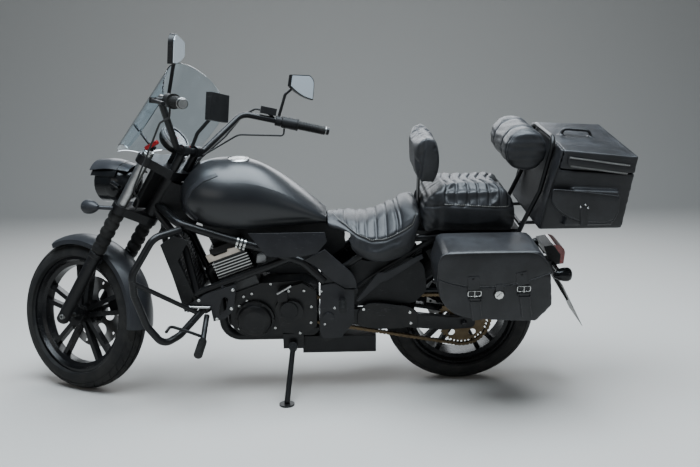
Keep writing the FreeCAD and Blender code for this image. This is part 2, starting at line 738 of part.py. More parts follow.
def disc(end, offset):
    """A drilled brake disc on the hub's right flange."""
    wheel = FRONT_WHEEL if end == "front" else REAR_WHEEL
    made = body(f"{end}_disc_body", wheel)
    outer = f"{end}_disc_r"
    inner = f"({end}_hub_r-6)"
    pad(made, "XZ_Plane", [("circle", "0", "0", outer), ("circle", "0", "0", inner)], "disc_thick",
        f"-({offset})", back=True)
    window = f"(({end}_hub_r+14+{outer}-disc_band)/2)"
    opening = pocket(made, "XZ_Plane", [("circle", window, "0", f"({outer}-disc_band-{end}_hub_r-14)/2-6")],
                     "400", both=True)
    around(made, opening, "Y_Axis", "spoke_pairs+1")
    hole = pocket(made, "XZ_Plane", [("circle", f"{outer}-disc_band/2", "0", "disc_hole_r")], "400",
                  both=True)
    around(made, hole, "Y_Axis", "disc_holes")
    return made


def rear_sprocket():
    """Toothed wheel with windows, on the hub's left face in line with the chain."""
    made = body("rear_sprocket_body", REAR_WHEEL)
    pad(made, "XZ_Plane", [("circle", "0", "0", "sprocket_r"), ("circle", "0", "0", "rear_hub_r-6")],
        "sprocket_thick", "chain_half", both=True)
    window = pocket(made, "XZ_Plane",
                    [("circle", "0", "(sprocket_r-tooth_depth+rear_hub_r+8)/2", "sprocket_window_r")],
                    "400", both=True)
    around(made, window, "Y_Axis", "sprocket_windows")
    gullet = f"(3.1416*sprocket_r/sprocket_teeth)"
    notch = pocket(made, "XZ_Plane", [[
        (f"-{gullet}*0.62", "sprocket_r+1"), (f"-{gullet}*0.36", "sprocket_r-tooth_depth"),
        (f"{gullet}*0.36", "sprocket_r-tooth_depth"), (f"{gullet}*0.62", "sprocket_r+1"),
    ]], "400", both=True)
    around(made, notch, "Y_Axis", "sprocket_teeth")
    return made


for wheel_end in ("front", "rear"):
    tyre(wheel_end)
    rim(wheel_end)
node("front_disc", disc("front", "front_hub_half+seat_gap"), "front_wheel")
node("rear_disc", disc("rear", "rear_hub_half+seat_gap"), "rear_wheel")
node("rear_sprocket", rear_sprocket(), "rear_wheel")

# Fork and yokes: drawn in the fork frame, Z up the steering axis, the axle at height 0


def fork_leg(name, x, y, outlines):
    """A round piece on a fork leg's own axis, turned from its half outline."""
    made = body(name, FORK * shifted(x, y, "0"))
    turn(made, "XZ_Plane", outlines, "V_Axis")
    return made


def fork_tubes():
    pair = []
    for side, sign in (("left", "-"), ("right", "")):
        top = "upper_yoke_z+yoke_thick+tube_cap"
        pair.append(fork_leg(f"fork_tube_{side}", "-leg_lead", f"{sign}leg_half", [[
            ("0", "slider_top+seat_gap"), ("tube_r", "slider_top+seat_gap"), ("tube_r", f"{top}-4"),
            ("tube_r-4", top), ("0", top),
        ]]))
    return node("fork_tubes", group("fork_tubes_pair", pair), "steering")


def fork_gaiters():
    """Rubber bellows over the tubes, two slopes to a rib."""
    pair = []
    low, high = "(slider_top+seat_gap)", "(lower_yoke_z-seat_gap)"
    step = f"(({high}-{low})/gaiter_ribs)"
    ribs = int(size("gaiter_ribs"))
    for side, sign in (("left", "-"), ("right", "")):
        outline = [("tube_r+seat_gap", low)]
        for rib in range(ribs):
            outline.append(("gaiter_waist_r", f"{low}+{step}*{rib}"))
            outline.append(("gaiter_r", f"{low}+{step}*{rib + 0.3}"))
            outline.append(("gaiter_r", f"{low}+{step}*{rib + 0.7}"))
        outline += [("gaiter_waist_r", high), ("tube_r+seat_gap", high)]
        pair.append(fork_leg(f"fork_gaiter_{side}", "-leg_lead", f"{sign}leg_half", [outline]))
    return node("fork_gaiters", group("fork_gaiters_pair", pair), "steering")


def fork_sliders():
    """Plain lower legs with a stepped top collar, cross bored for the axle."""
    pair = []
    for side, sign in (("left", "-"), ("right", "")):
        made = fork_leg(f"fork_slider_{side}", "-leg_lead", f"{sign}leg_half", [[
            ("0", "-slider_foot"), ("slider_r-6", "-slider_foot"), ("slider_r", "-slider_foot+8"),
            ("slider_r", "slider_top-24"), ("slider_r+3", "slider_top-20"), ("slider_r+3", "slider_top-2"),
            ("slider_r+1", "slider_top"), ("0", "slider_top"),
        ]])
        pocket(made, "XZ_Plane", [("circle", f"leg_lead-{FORK_OFFSET}", "0", "front_axle_r+seat_gap")], "400",
               both=True)
        pair.append(made)
    return node("fork_sliders", group("fork_sliders_pair", pair), "steering")


def yoke(name, low, rear, rear_half):
    """A yoke plate: a clamp boss round each tube, waisted toward the stem."""
    made = body(name, FORK)
    reach, wide = "(tube_r+yoke_wall)", "(leg_half+tube_r+yoke_wall)"
    pad(made, "XY_Plane", [[
        (f"-leg_lead-{reach}", "-leg_half-tube_r*0.5"),
        (f"-leg_lead-{reach}+14", "0"),
        (f"-leg_lead-{reach}", "leg_half+tube_r*0.5", "-leg_lead", wide),
        (f"-leg_lead+{reach}", "leg_half+tube_r*0.3"),
        (rear, rear_half, f"{rear}+8", "0"),
        (rear, f"-({rear_half})"),
        (f"-leg_lead+{reach}", "-leg_half-tube_r*0.3", "-leg_lead", f"-{wide}"),
    ]], "yoke_thick", low)
    for sign in ("", "-"):
        pocket(made, "XY_Plane", [("circle", "-leg_lead", f"{sign}leg_half", "tube_r+seat_gap")], "9000",
               both=True)
    return made


def fork_yokes():
    """Both yokes on the steering stem."""
    lower = yoke("lower_yoke", "lower_yoke_z", "stem_r+10", "stem_r+14")
    upper = yoke("upper_yoke", "upper_yoke_z", YOKE_REAR, YOKE_REAR_HALF)
    stem = rod("steering_stem", FORK.multVec(at("0", "0", "lower_yoke_z+2")),
               FORK.multVec(at("0", "0", "upper_yoke_z+yoke_thick+6")), "stem_r")
    return node("fork_yokes", fuse("fork_yokes_fused", [lower, upper, stem]), "steering")


def front_axle():
    """Hollow-ended axle through hub and sliders."""
    made = body("front_axle_body", FRONT_WHEEL)
    end = "front_axle_half"
    turn(made, "YZ_Plane", [[
        (f"-{end}", "axle_bore_r"), (f"-{end}+axle_bore_depth", "axle_bore_r"),
        (f"-{end}+axle_bore_depth", "0"),
        (f"{end}-axle_bore_depth", "0"), (f"{end}-axle_bore_depth", "axle_bore_r"), (end, "axle_bore_r"),
        (end, "front_axle_r"), (f"-{end}", "front_axle_r"),
    ]], "H_Axis")
    return node("front_axle", made, "steering")


def front_fender():
    """Shell turned about the axle, from ahead of the tyre's top to behind the axle's height."""
    middle = size("(fender_front+fender_rear)/2")
    made = body("front_fender_body", FRONT_WHEEL * turned(AXIS_Y, middle))
    inner = "(front_tyre_r+fender_gap)"
    half, wall = "fender_half", "fender_wall"
    low = f"({inner}-fender_skirt)"
    turn(made, "YZ_Plane", [[
        (f"-{half}", low), (f"-{half}+{wall}", low),
        (f"-{half}+{wall}", f"{inner}-24", "0", inner),
        (f"{half}-{wall}", f"{inner}-24"), (f"{half}-{wall}", low), (half, low),
        (half, f"{inner}+{wall}-24", "0", f"{inner}+{wall}"),
        (f"-{half}", f"{inner}+{wall}-24"),
    ]], "H_Axis", "fender_rear-fender_front")
    tabs = []
    for side, sign in (("left", "-"), ("right", "")):
        tab = body(f"fender_tab_{side}", FORK)
        pad(tab, "XZ_Plane", [box_outline("-leg_lead-14", "slider_top-52", "-leg_lead+14", "slider_top-26")],
            "leg_half-slider_r-fender_half+fender_wall-0.6",
            f"-({sign}1)*(leg_half-slider_r+fender_half-fender_wall)/2",
            both=True)
        tabs.append(tab)
    return node("front_fender", fuse("front_fender_fused", [made] + tabs), "steering")


def front_caliper():
    """Twin-piston caliper bridging the disc behind the right slider, with its bracket."""
    made = body("front_caliper_body", FRONT_WHEEL * turned(AXIS_Y, size("rake+40")))
    middle = "(front_hub_half+seat_gap+disc_thick/2)"
    pad(made, "XZ_Plane", [box_outline("-38", "front_disc_r-44", "38", "front_disc_r+14")], "46",
        f"-{middle}", both=True)
    pocket(made, "XZ_Plane", [box_outline("-60", "front_disc_r-60", "60", "front_disc_r+3")], "disc_thick+4",
           f"-{middle}", both=True)
    bracket = body("caliper_bracket", FRONT_WHEEL * turned(AXIS_Y, size("rake+19")))
    pad(bracket, "XZ_Plane", [box_outline("-60", "front_disc_r-40", "30", "front_disc_r-12")], "8",
        "-(leg_half-slider_r-seat_gap-4)", both=True)
    return node("front_caliper", fuse("front_caliper_fused", [made, bracket]), "steering")


fork_tubes()
fork_gaiters()
fork_sliders()
fork_yokes()
front_axle()
front_fender()
front_caliper()

# On the fork: lamps, handlebar, mirrors, instruments and windscreen


def headlamp():
    """Bullet shell with a visor cowl, and its lens."""
    frame = shifted("lamp_x", "0", "lamp_z")
    rim_x, back_x = "(-lamp_depth/2)", "(lamp_depth/2)"
    shell = body("headlamp_shell_body", frame)
    turn(shell, "XZ_Plane", [[
        (rim_x, "lamp_r"), (f"{rim_x}+lamp_depth*0.35", "lamp_r", f"{back_x}-lamp_depth*0.16", "lamp_r*0.72"),
        (back_x, "lamp_r*0.3"), (back_x, "0"), (f"{back_x}-lamp_wall", "0"),
        (f"{back_x}-lamp_wall", "lamp_r*0.3", f"{back_x}-lamp_depth*0.16-lamp_wall", "lamp_r*0.72-lamp_wall"),
        (f"{rim_x}+lamp_depth*0.35", "lamp_r-lamp_wall"), (rim_x, "lamp_r-lamp_wall"),
    ]], "H_Axis")
    visor = body("headlamp_visor_body", frame)
    turn(visor, "XZ_Plane", [[
        (f"{rim_x}-visor_reach", "lamp_r-1"), (f"{back_x}-lamp_depth*0.3", "lamp_r-1"),
        (f"{back_x}-lamp_depth*0.3", "lamp_r+lamp_wall"), (f"{rim_x}-visor_reach+8", "lamp_r+lamp_wall"),
    ]], "H_Axis", "150")
    lens = body("headlamp_lens_body", frame)
    turn(lens, "XZ_Plane", [[
        (f"{rim_x}+lens_thick", "0"), (f"{rim_x}+lens_thick", "lamp_r-lamp_wall-seat_gap"),
        (f"{rim_x}+2", "lamp_r-lamp_wall-seat_gap", f"{rim_x}-5", "lamp_r*0.5"), (f"{rim_x}-8", "lamp_r*0.1"),
        (f"{rim_x}-8", "0"),
    ]], "H_Axis")
    ears = [
        rod(f"headlamp_ear_{side}", at("lamp_x+lamp_depth*0.1", f"{sign}(lamp_r-2)", "lamp_z"),
            at("lamp_x+lamp_depth*0.42", f"{sign}(leg_half-tube_r+10)", "lamp_z-16"), "stalk_r")
        for side, sign in (("left", "-"), ("right", ""))
    ]
    node("headlamp", group("headlamp_all", [fuse("headlamp_shell_fused", [shell, visor] + ears), lens]),
         "steering")


def signals(end, x, z, root_x, root):
    """A pair of stalked signals: housing with its lens toward the outside end."""
    facing = "-" if end == "front" else ""
    housing = body(f"{end}_signal_body", shifted(x, "-signal_half+signal_r", z))
    turn(housing, "XZ_Plane", [[
        (f"{facing}signal_length/2", "0"), (f"{facing}signal_length/2", "signal_r-2"),
        (f"{facing}(signal_length/2-4)", "signal_r", "0", "signal_r*0.93"),
        (f"-({facing}signal_length/2)", "signal_r*0.3"), (f"-({facing}signal_length/2)", "0"),
    ]], "H_Axis")
    stalk = rod(f"{end}_signal_stalk", at(root_x, f"-({root})", z), at(x, "-signal_half+signal_r", z),
                "stalk_r")
    lens = body(f"{end}_signal_lens_body", shifted(x, "-signal_half+signal_r", z))
    turn(lens, "XZ_Plane", [[
        (f"{facing}(signal_length/2+seat_gap)", "0"), (f"{facing}(signal_length/2+seat_gap)", "signal_r-3"),
        (f"{facing}(signal_length/2+4)", "signal_r-4", f"{facing}(signal_length/2+9)", "signal_r*0.5"),
        (f"{facing}(signal_length/2+10)", "signal_r*0.15"), (f"{facing}(signal_length/2+10)", "0"),
    ]], "H_Axis")
    whole = group(f"{end}_signal_left", [fuse(f"{end}_signal_solid", [housing, stalk]), lens])
    return both_sides(f"{end}_signal_pair", whole)


def along_grip(distance, sign="-"):
    """A point on the bar's last run, at a distance from its end."""
    end = at("grip_end_x", f"{sign}grip_end", "grip_end_z")
    knee = at("bar_knee_x", f"{sign}bar_knee", "bar_knee_z")
    return end + (knee - end).normalize() * distance


def handlebar():
    """One bent tube held in two risers on the upper yoke, and what it carries."""
    left = [at("grip_end_x", "-grip_end", "grip_end_z"), at("bar_knee_x", "-bar_knee", "bar_knee_z"),
            at("bar_x", "-bar_root", "bar_z")]
    right = [Vector(point.x, -point.y, point.z) for point in reversed(left)]
    bar = tube("handlebar_tube", left + right, "bar_r", "bar_bend_r")
    top = "upper_yoke_z+yoke_thick"
    saddle = FORK.inverse().multVec(at("bar_x", "0", "bar_z"))
    risers = []
    for side, sign in (("left", -1), ("right", 1)):
        y = sign * size("riser_half")
        foot = FORK.multVec(Vector(saddle.x, y, size(f"{top}+seat_gap")))
        risers.append(rod(f"riser_{side}", foot, FORK.multVec(Vector(saddle.x, y, saddle.z - 5)), "riser_r"))
        risers.append(rod(f"riser_clamp_{side}", at("bar_x", f"{sign}*riser_half-17", "bar_z"),
                          at("bar_x", f"{sign}*riser_half+17", "bar_z"), "bar_r+9"))
    ends = [rod(f"bar_end_{side}", along_grip(1, sign), along_grip(-9, sign), "grip_r-1")
            for side, sign in (("left", "-"), ("right", ""))]
    node("handlebar", fuse("handlebar_fused", risers + [bar] + ends), "steering")
    sleeve = rod("grip_sleeve", along_grip(1.5), along_grip(size("grip_length")), "grip_r")
    flange = rod("grip_flange", along_grip(size("grip_length-6")), along_grip(size("grip_length")),
                 "grip_r+8")
    hole = rod("grip_hole", along_grip(-20), along_grip(size("grip_length+20")), "bar_r+seat_gap")
    node("grips", both_sides("grip_pair", cut("grip_left", fuse("grip_solid", [sleeve, flange]), [hole])),
         "steering")


def switch_gear():
    """A switch housing inboard of each grip, with perch, lever and the right side's reservoir."""
    start = size("grip_length") + 1
    finish = start + size("switch_length")
    housing = rod("switch_housing", along_grip(start), along_grip(finish), "switch_r")
    perch = rod("lever_perch", along_grip(finish + 3), along_grip(finish + 27), "bar_r+8")
    hole = rod("switch_hole", along_grip(start - 9), along_grip(finish + 60), "bar_r+seat_gap")
    ahead = Vector(-0.55, -0.72, -0.1)
    pivot = along_grip(finish + 15) + ahead * 46
    arm = rod("perch_arm", along_grip(finish + 15) + ahead * 16, pivot, "bar_r-2")
    solid = cut("switch_left", fuse("switch_solid", [housing, perch, arm]), [hole])
    tip = along_grip(12) + ahead * 62
    bend = along_grip(start) + ahead * 58
    lever = tube("hand_lever", [pivot + ahead * 14, bend, tip], "6.5", "50")
    boss = rod("lever_boss", pivot + ahead * 13 - AXIS_Z * 9, pivot + ahead * 13 + AXIS_Z * 9, "10")
    lever_solid = fuse("lever_left", [lever, boss])
    left = group("hand_controls_left", [solid, lever_solid])
    perch_top = along_grip(finish + 60, "") + AXIS_Z * size("bar_r+6")
    pot = body("reservoir_body",
               Placement(perch_top, Rotation(AXIS_X, along_grip(0, "") - along_grip(90, ""))))
    pad(pot, "XY_Plane", [box_outline("-32", "-19", "32", "19")], "28")
    stalk = rod("reservoir_stalk", along_grip(finish + 26, ""), perch_top + AXIS_Z * 8, "6")
    right = cut("switch_right", fuse("switch_right_solid", [mirrored(solid), stalk, pot]),
                [mirrored(hole)])
    pieces = [left, right, mirrored(lever_solid)]
    node("hand_controls", group("hand_controls_all", pieces), "steering")


def cables():
    """A control cable from each grip to the lower yoke, and the hose to the front caliper."""
    switch_end = size("grip_length+switch_length")
    strands = []
    for name, sign in (("clutch", -1), ("throttle", 1)):
        root = along_grip(switch_end - 10, "-" if sign < 0 else "")
        under = root - AXIS_Z * size("switch_r+4*seat_gap")
        run = [FORK.multVec(Vector(x, sign * y, z)) for x, y, z in CABLE_RUN]
        end = FORK.multVec(at("-26", f"{sign}*64", "lower_yoke_z+yoke_thick+4*seat_gap"))
        strands.append(tube(f"cable_{name}", [under, under - AXIS_Z * 30] + run + [end], "cable_r", "60"))
    node("bar_cables", group("bar_cables_all", strands), "steering")
    pot_end = along_grip(switch_end + 93.4, "") + AXIS_Z * size("bar_r+18")
    inward = (along_grip(90, "") - along_grip(0, "")).normalize()
    facing = FRONT_WHEEL * turned(AXIS_Y, size("rake+40"))
    side, height = size("front_hub_half+seat_gap+disc_thick/2+13"), size("front_disc_r-15")
    points = [pot_end, pot_end + inward * 20, at("-1030", "290", "1170"), at("-1075", "240", "1080")]
    points += [FORK.multVec(Vector(x, y, z)) for x, y, z in HOSE_RUN]
    points += [facing.multVec(Vector(-84, side, height)), facing.multVec(Vector(-46, side, height))]
    hose = tube("front_brake_hose", points, "hose_r", "40")
    node("front_hoses", group("front_hoses_all", [hose]), "steering")


def mirrors():
    """Leaf-shaped shells turned in toward the rider, on bent stems from the lever perches."""
    root = along_grip(size("grip_length+switch_length") + 14)
    root += AXIS_Z * size("bar_r+8+seat_gap*2")
    centre = at("mirror_x", "-mirror_half", "mirror_z")
    frame = Placement(centre, Rotation(AXIS_Z, size("mirror_toe")))
    outline = [
        ("mirror_width*0.46", "mirror_height*0.40"),
        ("-mirror_width*0.26", "mirror_height*0.50", "-mirror_width*0.43", "mirror_height*0.38"),
        ("-mirror_width*0.50", "mirror_height*0.14"),
        ("-mirror_width*0.48", "-mirror_height*0.50", "mirror_width*0.05", "-mirror_height*0.36"),
        ("mirror_width*0.50", "-mirror_height*0.06"),
    ]
    shell = body("mirror_shell_body", frame)
    pad(shell, "YZ_Plane", [outline], "mirror_thick", "-mirror_thick")
    glass = body("mirror_glass_body", frame)
    small = [tuple(f"({text})*0.92" for text in corner) for corner in outline]
    pad(glass, "YZ_Plane", [small], "glass_thick", "seat_gap")
    knee = Vector(root.x + 20, root.y - 8, centre.z - 38)
    back = frame.multVec(Vector(-size("mirror_thick") + 3, size("mirror_width") * 0.2, 0))
    stem = tube("mirror_stem", [root, knee, back], "6", "18")
    node("mirrors", both_sides("mirror_pair", fuse("mirror_left", [shell, stem])), "steering")
    node("mirror_glass", both_sides("mirror_glass_pair", glass), "steering")


def instruments():
    """Round pod on the upper yoke, and the square device box on its arm."""
    frame = Placement(at("gauge_x", "0", "gauge_z"), Rotation(AXIS_Y, 48))
    pod = body("gauge_body", frame)
    turn(pod, "XZ_Plane", [[
        ("0", "gauge_depth/2-3"), ("gauge_r-6", "gauge_depth/2-3"), ("gauge_r-5", "gauge_depth/2"),
        ("gauge_r", "gauge_depth/2-2"), ("gauge_r", "0", "gauge_r*0.86", "-gauge_depth*0.32"),
        ("gauge_r*0.45", "-gauge_depth/2"), ("0", "-gauge_depth/2"),
    ]], "V_Axis")
    post = rod("gauge_post", FORK.multVec(at("-30", "0", "upper_yoke_z+yoke_thick+seat_gap")),
               FORK.multVec(at("-30", "0", "upper_yoke_z+yoke_thick+70")), "12")
    gauge = fuse("instrument_pod_fused", [pod, post])
    case = body("device_box_body", shifted("bar_x+98", "28", "bar_z+170"))
    pad(case, "YZ_Plane", [box_outline("-box_width/2", "-box_height/2", "box_width/2", "box_height/2")],
        "box_depth", both=True)
    arm = tube("device_arm", [at("bar_x", "10", "bar_z+bar_r+2.2"), at("bar_x+20", "14", "bar_z+70"),
                              at("bar_x+90", "28", "bar_z+150")], "7", "40")
    node("instruments", group("instruments_all", [gauge, fuse("device_box_fused", [case, arm])]), "steering")


def windscreen():
    """Clear sheet bent round an arc, trimmed to its outline, on two clamped stays."""
    frame = shifted("screen_foot_x", "0", "screen_foot_z") * turned(AXIS_Y, size("screen_tilt"))
    sheet_body = body("windscreen_body", frame)
    side = "(screen_r*0.74)"
    outer_y = f"sqrt(screen_r^2-(screen_r-{side})^2)"
    inner_y = f"sqrt((screen_r-screen_wall)^2-(screen_r-{side})^2)"
    pad(sheet_body, "XY_Plane", [[
        (side, outer_y, "0", "0"), (side, f"-{outer_y}"), (side, f"-{inner_y}", "screen_wall", "0"),
        (side, inner_y),
    ]], "screen_length")
    pocket(sheet_body, "YZ_Plane", [
        box_outline("-screen_r-30", "-30", "screen_r+30", "screen_length+30"),
        [("-72", "2", "0", "-8"), ("72", "2"), ("screen_r*0.93", "screen_length*0.25"),
         ("screen_r*0.97", "screen_length*0.62", "screen_r*0.9", "screen_length*0.86"),
         ("screen_r*0.62", "screen_length*0.96", "0", "screen_length-1"),
         ("-screen_r*0.62", "screen_length*0.96", "-screen_r*0.9", "screen_length*0.86"),
         ("-screen_r*0.97", "screen_length*0.62"), ("-screen_r*0.93", "screen_length*0.25")],
    ], "900", both=True)
    node("windscreen", sheet_body, "steering")
    cap = FORK.multVec(at("-leg_lead", "-leg_half", "upper_yoke_z+yoke_thick+tube_cap+seat_gap"))
    clamp = FORK.multVec(at("-leg_lead", "-leg_half", "upper_yoke_z+yoke_thick+tube_cap+24"))
    reach = size("screen_r-sqrt(screen_r^2-leg_half^2)+screen_wall") + 3.5
    face = frame.multVec(Vector(reach, clamp.y, size("screen_length*0.34")))
    stay = tube("screen_stay", [clamp + (face - clamp).normalize() * 12.5, face], "5", "20")
    block_frame = Placement(clamp, Rotation(AXIS_X, face - clamp))
    grip = body("screen_clamp_body", block_frame)
    pad(grip, "XZ_Plane", [box_outline("-12", "-10", "12", "10")], "20", both=True)
    foot = rod("screen_clamp_foot", cap, clamp, "7")
    mount = group("screen_mount_left", [stay, fuse("screen_clamp_left", [grip, foot])])
    node("screen_mounts", both_sides("screen_mount_pair", mount), "steering")


headlamp()
node("front_signals", signals("front", "lamp_x+14", "lamp_z-98", "lamp_x+80", "leg_half+tube_r+yoke_wall+7"),
     "steering")
handlebar()
switch_gear()
cables()
mirrors()
instruments()
windscreen()

# Chassis: frame and engine


def frame():
    """Head tube, a perimeter tube and a diagonal on each side, down tubes, pivot plates and cross tubes."""
    head = rod("head_tube_solid", FORK.multVec(at("0", "0", HEAD_TUBE_FOOT)),
               FORK.multVec(at("0", "0", HEAD_TUBE_TOP)), "head_tube_r")
    left = [
        tube("frame_upper", [FORK.multVec(at("8", "-12", "lower_yoke_z+yoke_thick+head_gap+52")),
                             at("head_x+52", "-frame_half+26", "748"), at("head_x+275", "-frame_half", "682"),
                             at("head_x+380", "-frame_half", "648"), at("pivot_x-95", "-frame_half", "592"),
                             at("pivot_x-14", "-frame_half", "pivot_z+150")], "frame_tube_r", "70"),
        tube("frame_diagonal",
             [at("head_x+98", "-frame_half+2", "462"), at("head_x+416", "-frame_half", "586"),
                                at("head_x+470", "-frame_half", "608")], "frame_tube_r-2", "90"),
        tube("frame_down", [FORK.multVec(at("14", "-12", "lower_yoke_z+yoke_thick+head_gap+24")),
                            at("head_x+62", "-80", "640"), at("head_x+106", "-frame_half+2", "470"),
                            at("head_x+142", "-frame_half+6", "385")], "frame_tube_r-2", "80"),
    ]
    plate = body("pivot_plate", shifted("pivot_x", "-frame_half", "pivot_z"))
    pad(plate, "XZ_Plane", [[
        ("-30", "178"), ("28", "222"), ("80", "170", "96", "132"), ("78", "80"), ("44", "-20"), ("30", "-96"),
        ("-12", "-112"), ("-34", "-84"), ("-34", "40"), ("-26", "110"),
    ]], "plate_thick", both=True)
    pocket(plate, "XZ_Plane", [("circle", "0", "0", "pivot_r+seat_gap")], "200", both=True)
    pieces = left + [plate]
    pieces += [mirrored(piece) for piece in list(pieces)]
    pieces += [
        rod("frame_cross_rear", at("pivot_x+8", "-frame_half", "pivot_z+146"),
            at("pivot_x+8", "frame_half", "pivot_z+146"), "cross_r"),
        rod("frame_cross_low", at("pivot_x+8", "-frame_half", "pivot_z-88"),
            at("pivot_x+8", "frame_half", "pivot_z-88"), "cross_r"),
        rod("frame_cross_front", at("head_x+142", "-frame_half", "392"),
            at("head_x+142", "frame_half", "392"),
            "cross_r-3"),
    ]
    bore = rod("head_tube_bore", FORK.multVec(at("0", "0", "lower_yoke_z")),
               FORK.multVec(at("0", "0", "upper_yoke_z+30")), "stem_r+seat_gap")
    return node("frame", cut("frame_bored", fuse("frame_fused", [head] + pieces), [bore]), "chassis")


def rear_subframe():
    """Seat rails, their struts from the pivot plates, and the cross plate under the seats."""
    start = "pivot_x+48"
    left = [
        tube("seat_rail", [at(start, "-rail_half", "pivot_z+186"), at("-330", "-rail_half", "660"),
                           at("-110", "-rail_half", "680"), at("190", "-rail_half", "684")], "rail_r", "120"),
        tube("rail_strut", [at("pivot_x+92", "-rail_half", "pivot_z+96"), at("-230", "-rail_half", "610"),
                            at("-120", "-rail_half", "674")], "rail_r-2", "80"),
    ]
    ears = block("rail_ear", "pivot_x+64", "-frame_half+plate_thick/2+seat_gap", "pivot_z+76", "56",
                 "frame_half-rail_half-plate_thick/2", "34")
    upper_ear = block("rail_ear_upper", "pivot_x+36", "-frame_half+plate_thick/2+seat_gap", "pivot_z+176",
                      "40",
                      "frame_half-rail_half-plate_thick/2", "22")
    pieces = left + [ears, upper_ear]
    pieces += [mirrored(piece) for piece in list(pieces)]
    pieces.append(block("rail_bridge", "-215", "-rail_half", "pillion_foot-seat_gap-16", "420",
                        "rail_half*2", "16"))
    return node("rear_subframe", fuse("rear_subframe_fused", pieces), "chassis")


CYLINDERS = shifted("cylinder_x", "0", "cylinder_z") * turned(AXIS_Y, -size("cylinder_tilt"))


def engine():
    """Plain crankcase, with the finned cylinder block and its head leaning forward."""
    deck = "(cylinder_depth/2+8)"
    deck_front = (f"cylinder_x-{deck}*cos(cylinder_tilt)", f"cylinder_z-{deck}*sin(cylinder_tilt)")
    deck_rear = (f"cylinder_x+{deck}*cos(cylinder_tilt)", f"cylinder_z+{deck}*sin(cylinder_tilt)")
    case = body("crankcase_body")
    pad(case, "XZ_Plane", [[
        deck_front, ("case_front", "case_floor+88", "case_front+14", "case_floor+30"),
        ("case_front+70", "case_floor"), ("case_rear-40", "case_floor", "case_rear-8", "case_floor+10"),
        ("case_rear", "case_floor+44"), ("case_rear", "case_top-40"), ("case_rear-60", "case_top"), deck_rear,
    ]], "case_half*2", both=True)
    pocket(case, "XZ_Plane", [box_outline("case_rear-128", "case_floor+34", "case_rear+5", "case_top-46")],
           "chain_half+chain_width", "chain_half-chain_width/2-6", back=True)
    node("engine_block", case, "chassis")
    barrels = body("cylinder_body", CYLINDERS)
    half_depth = "cylinder_depth/2"
    pad(barrels, "XY_Plane", [box_outline(f"-{half_depth}", "-cylinder_half", half_depth, "cylinder_half")],
        "cylinder_height-seat_gap", "seat_gap")
    first = "cylinder_height-12-fin_pitch*(fin_count-1)"
    fin = pad(barrels, "XY_Plane", [box_outline(
        f"-{half_depth}-fin_reach", "-cylinder_half-fin_reach", f"{half_depth}+fin_reach",
        "cylinder_half+fin_reach",
    )], "fin_thick", first)
    along(barrels, fin, "Z_Axis", "fin_pitch*(fin_count-1)", "fin_count")
    head = body("head_body", CYLINDERS)
    pad(head, "YZ_Plane", [[
        ("-cylinder_half", "cylinder_height+seat_gap"), ("cylinder_half", "cylinder_height+seat_gap"),
        ("cylinder_half", "cylinder_height+head_height*0.6"),
        ("cylinder_half-14", "cylinder_height+head_height"),
        ("-cylinder_half+14", "cylinder_height+head_height"),
        ("-cylinder_half", "cylinder_height+head_height*0.6"),
    ]], "cylinder_depth", both=True)
    node("cylinders", group("cylinders_all", [barrels, head]), "chassis")


def round_cover(label, x, z, side, radius, depth):
    """A domed engine cover with a ring of bolt heads."""
    sign = "-" if side == "left" else ""
    made = body(f"{label}_body", shifted(x, f"{sign}(case_half+seat_gap)", z))
    turn(made, "YZ_Plane", [[
        ("0", "0"), ("0", radius), (f"{sign}{depth}*0.35", radius), (f"{sign}{depth}*0.42", f"{radius}-9"),
        (f"{sign}{depth}*0.75", f"{radius}-14", f"{sign}{depth}*0.93", f"{radius}*0.66"),
        (f"{sign}{depth}", f"{radius}*0.55"), (f"{sign}{depth}", "0"),
    ]], "H_Axis")
    reach = f"({depth}*0.35+5)"
    bolt = pad(made, "XZ_Plane", [("circle", f"{radius}-7", "0", "cover_bolt_r")], reach,
               back=side == "right")
    doc.recompute()
    around(made, bolt, "Y_Axis", "cover_bolts")
    return made


def side_engine_covers():
    """Sprocket cover over the chain's front end, and the plugged plate behind it."""
    made = body("sprocket_cover_body", shifted("0", "-case_half-seat_gap", "0"))
    pad(made, "XZ_Plane", [[
        ("case_rear-160", "case_top-88"), ("case_rear-150", "case_top-30"), ("case_rear-60", "case_top-4"),
        ("case_rear-6", "case_top-40"), ("case_rear-6", "case_floor+50"), ("case_rear-60", "case_floor+14"),
        ("case_rear-150", "case_floor+24"),
        ("case_rear-160", "case_floor+90", "case_rear-171", "case_floor+126"),
    ]], "20")
    pad(made, "XZ_Plane", [("circle", "case_rear-104", "case_floor+124", "45")], "16", "20")
    pad(made, "XZ_Plane", [box_outline("case_rear-160", "case_top-80", "case_rear-120", "case_top-36")],
        "10", "20")
    return made


RADIATOR = shifted("radiator_x", "0", "radiator_z") * turned(AXIS_Y, -size("radiator_tilt*0.75"))


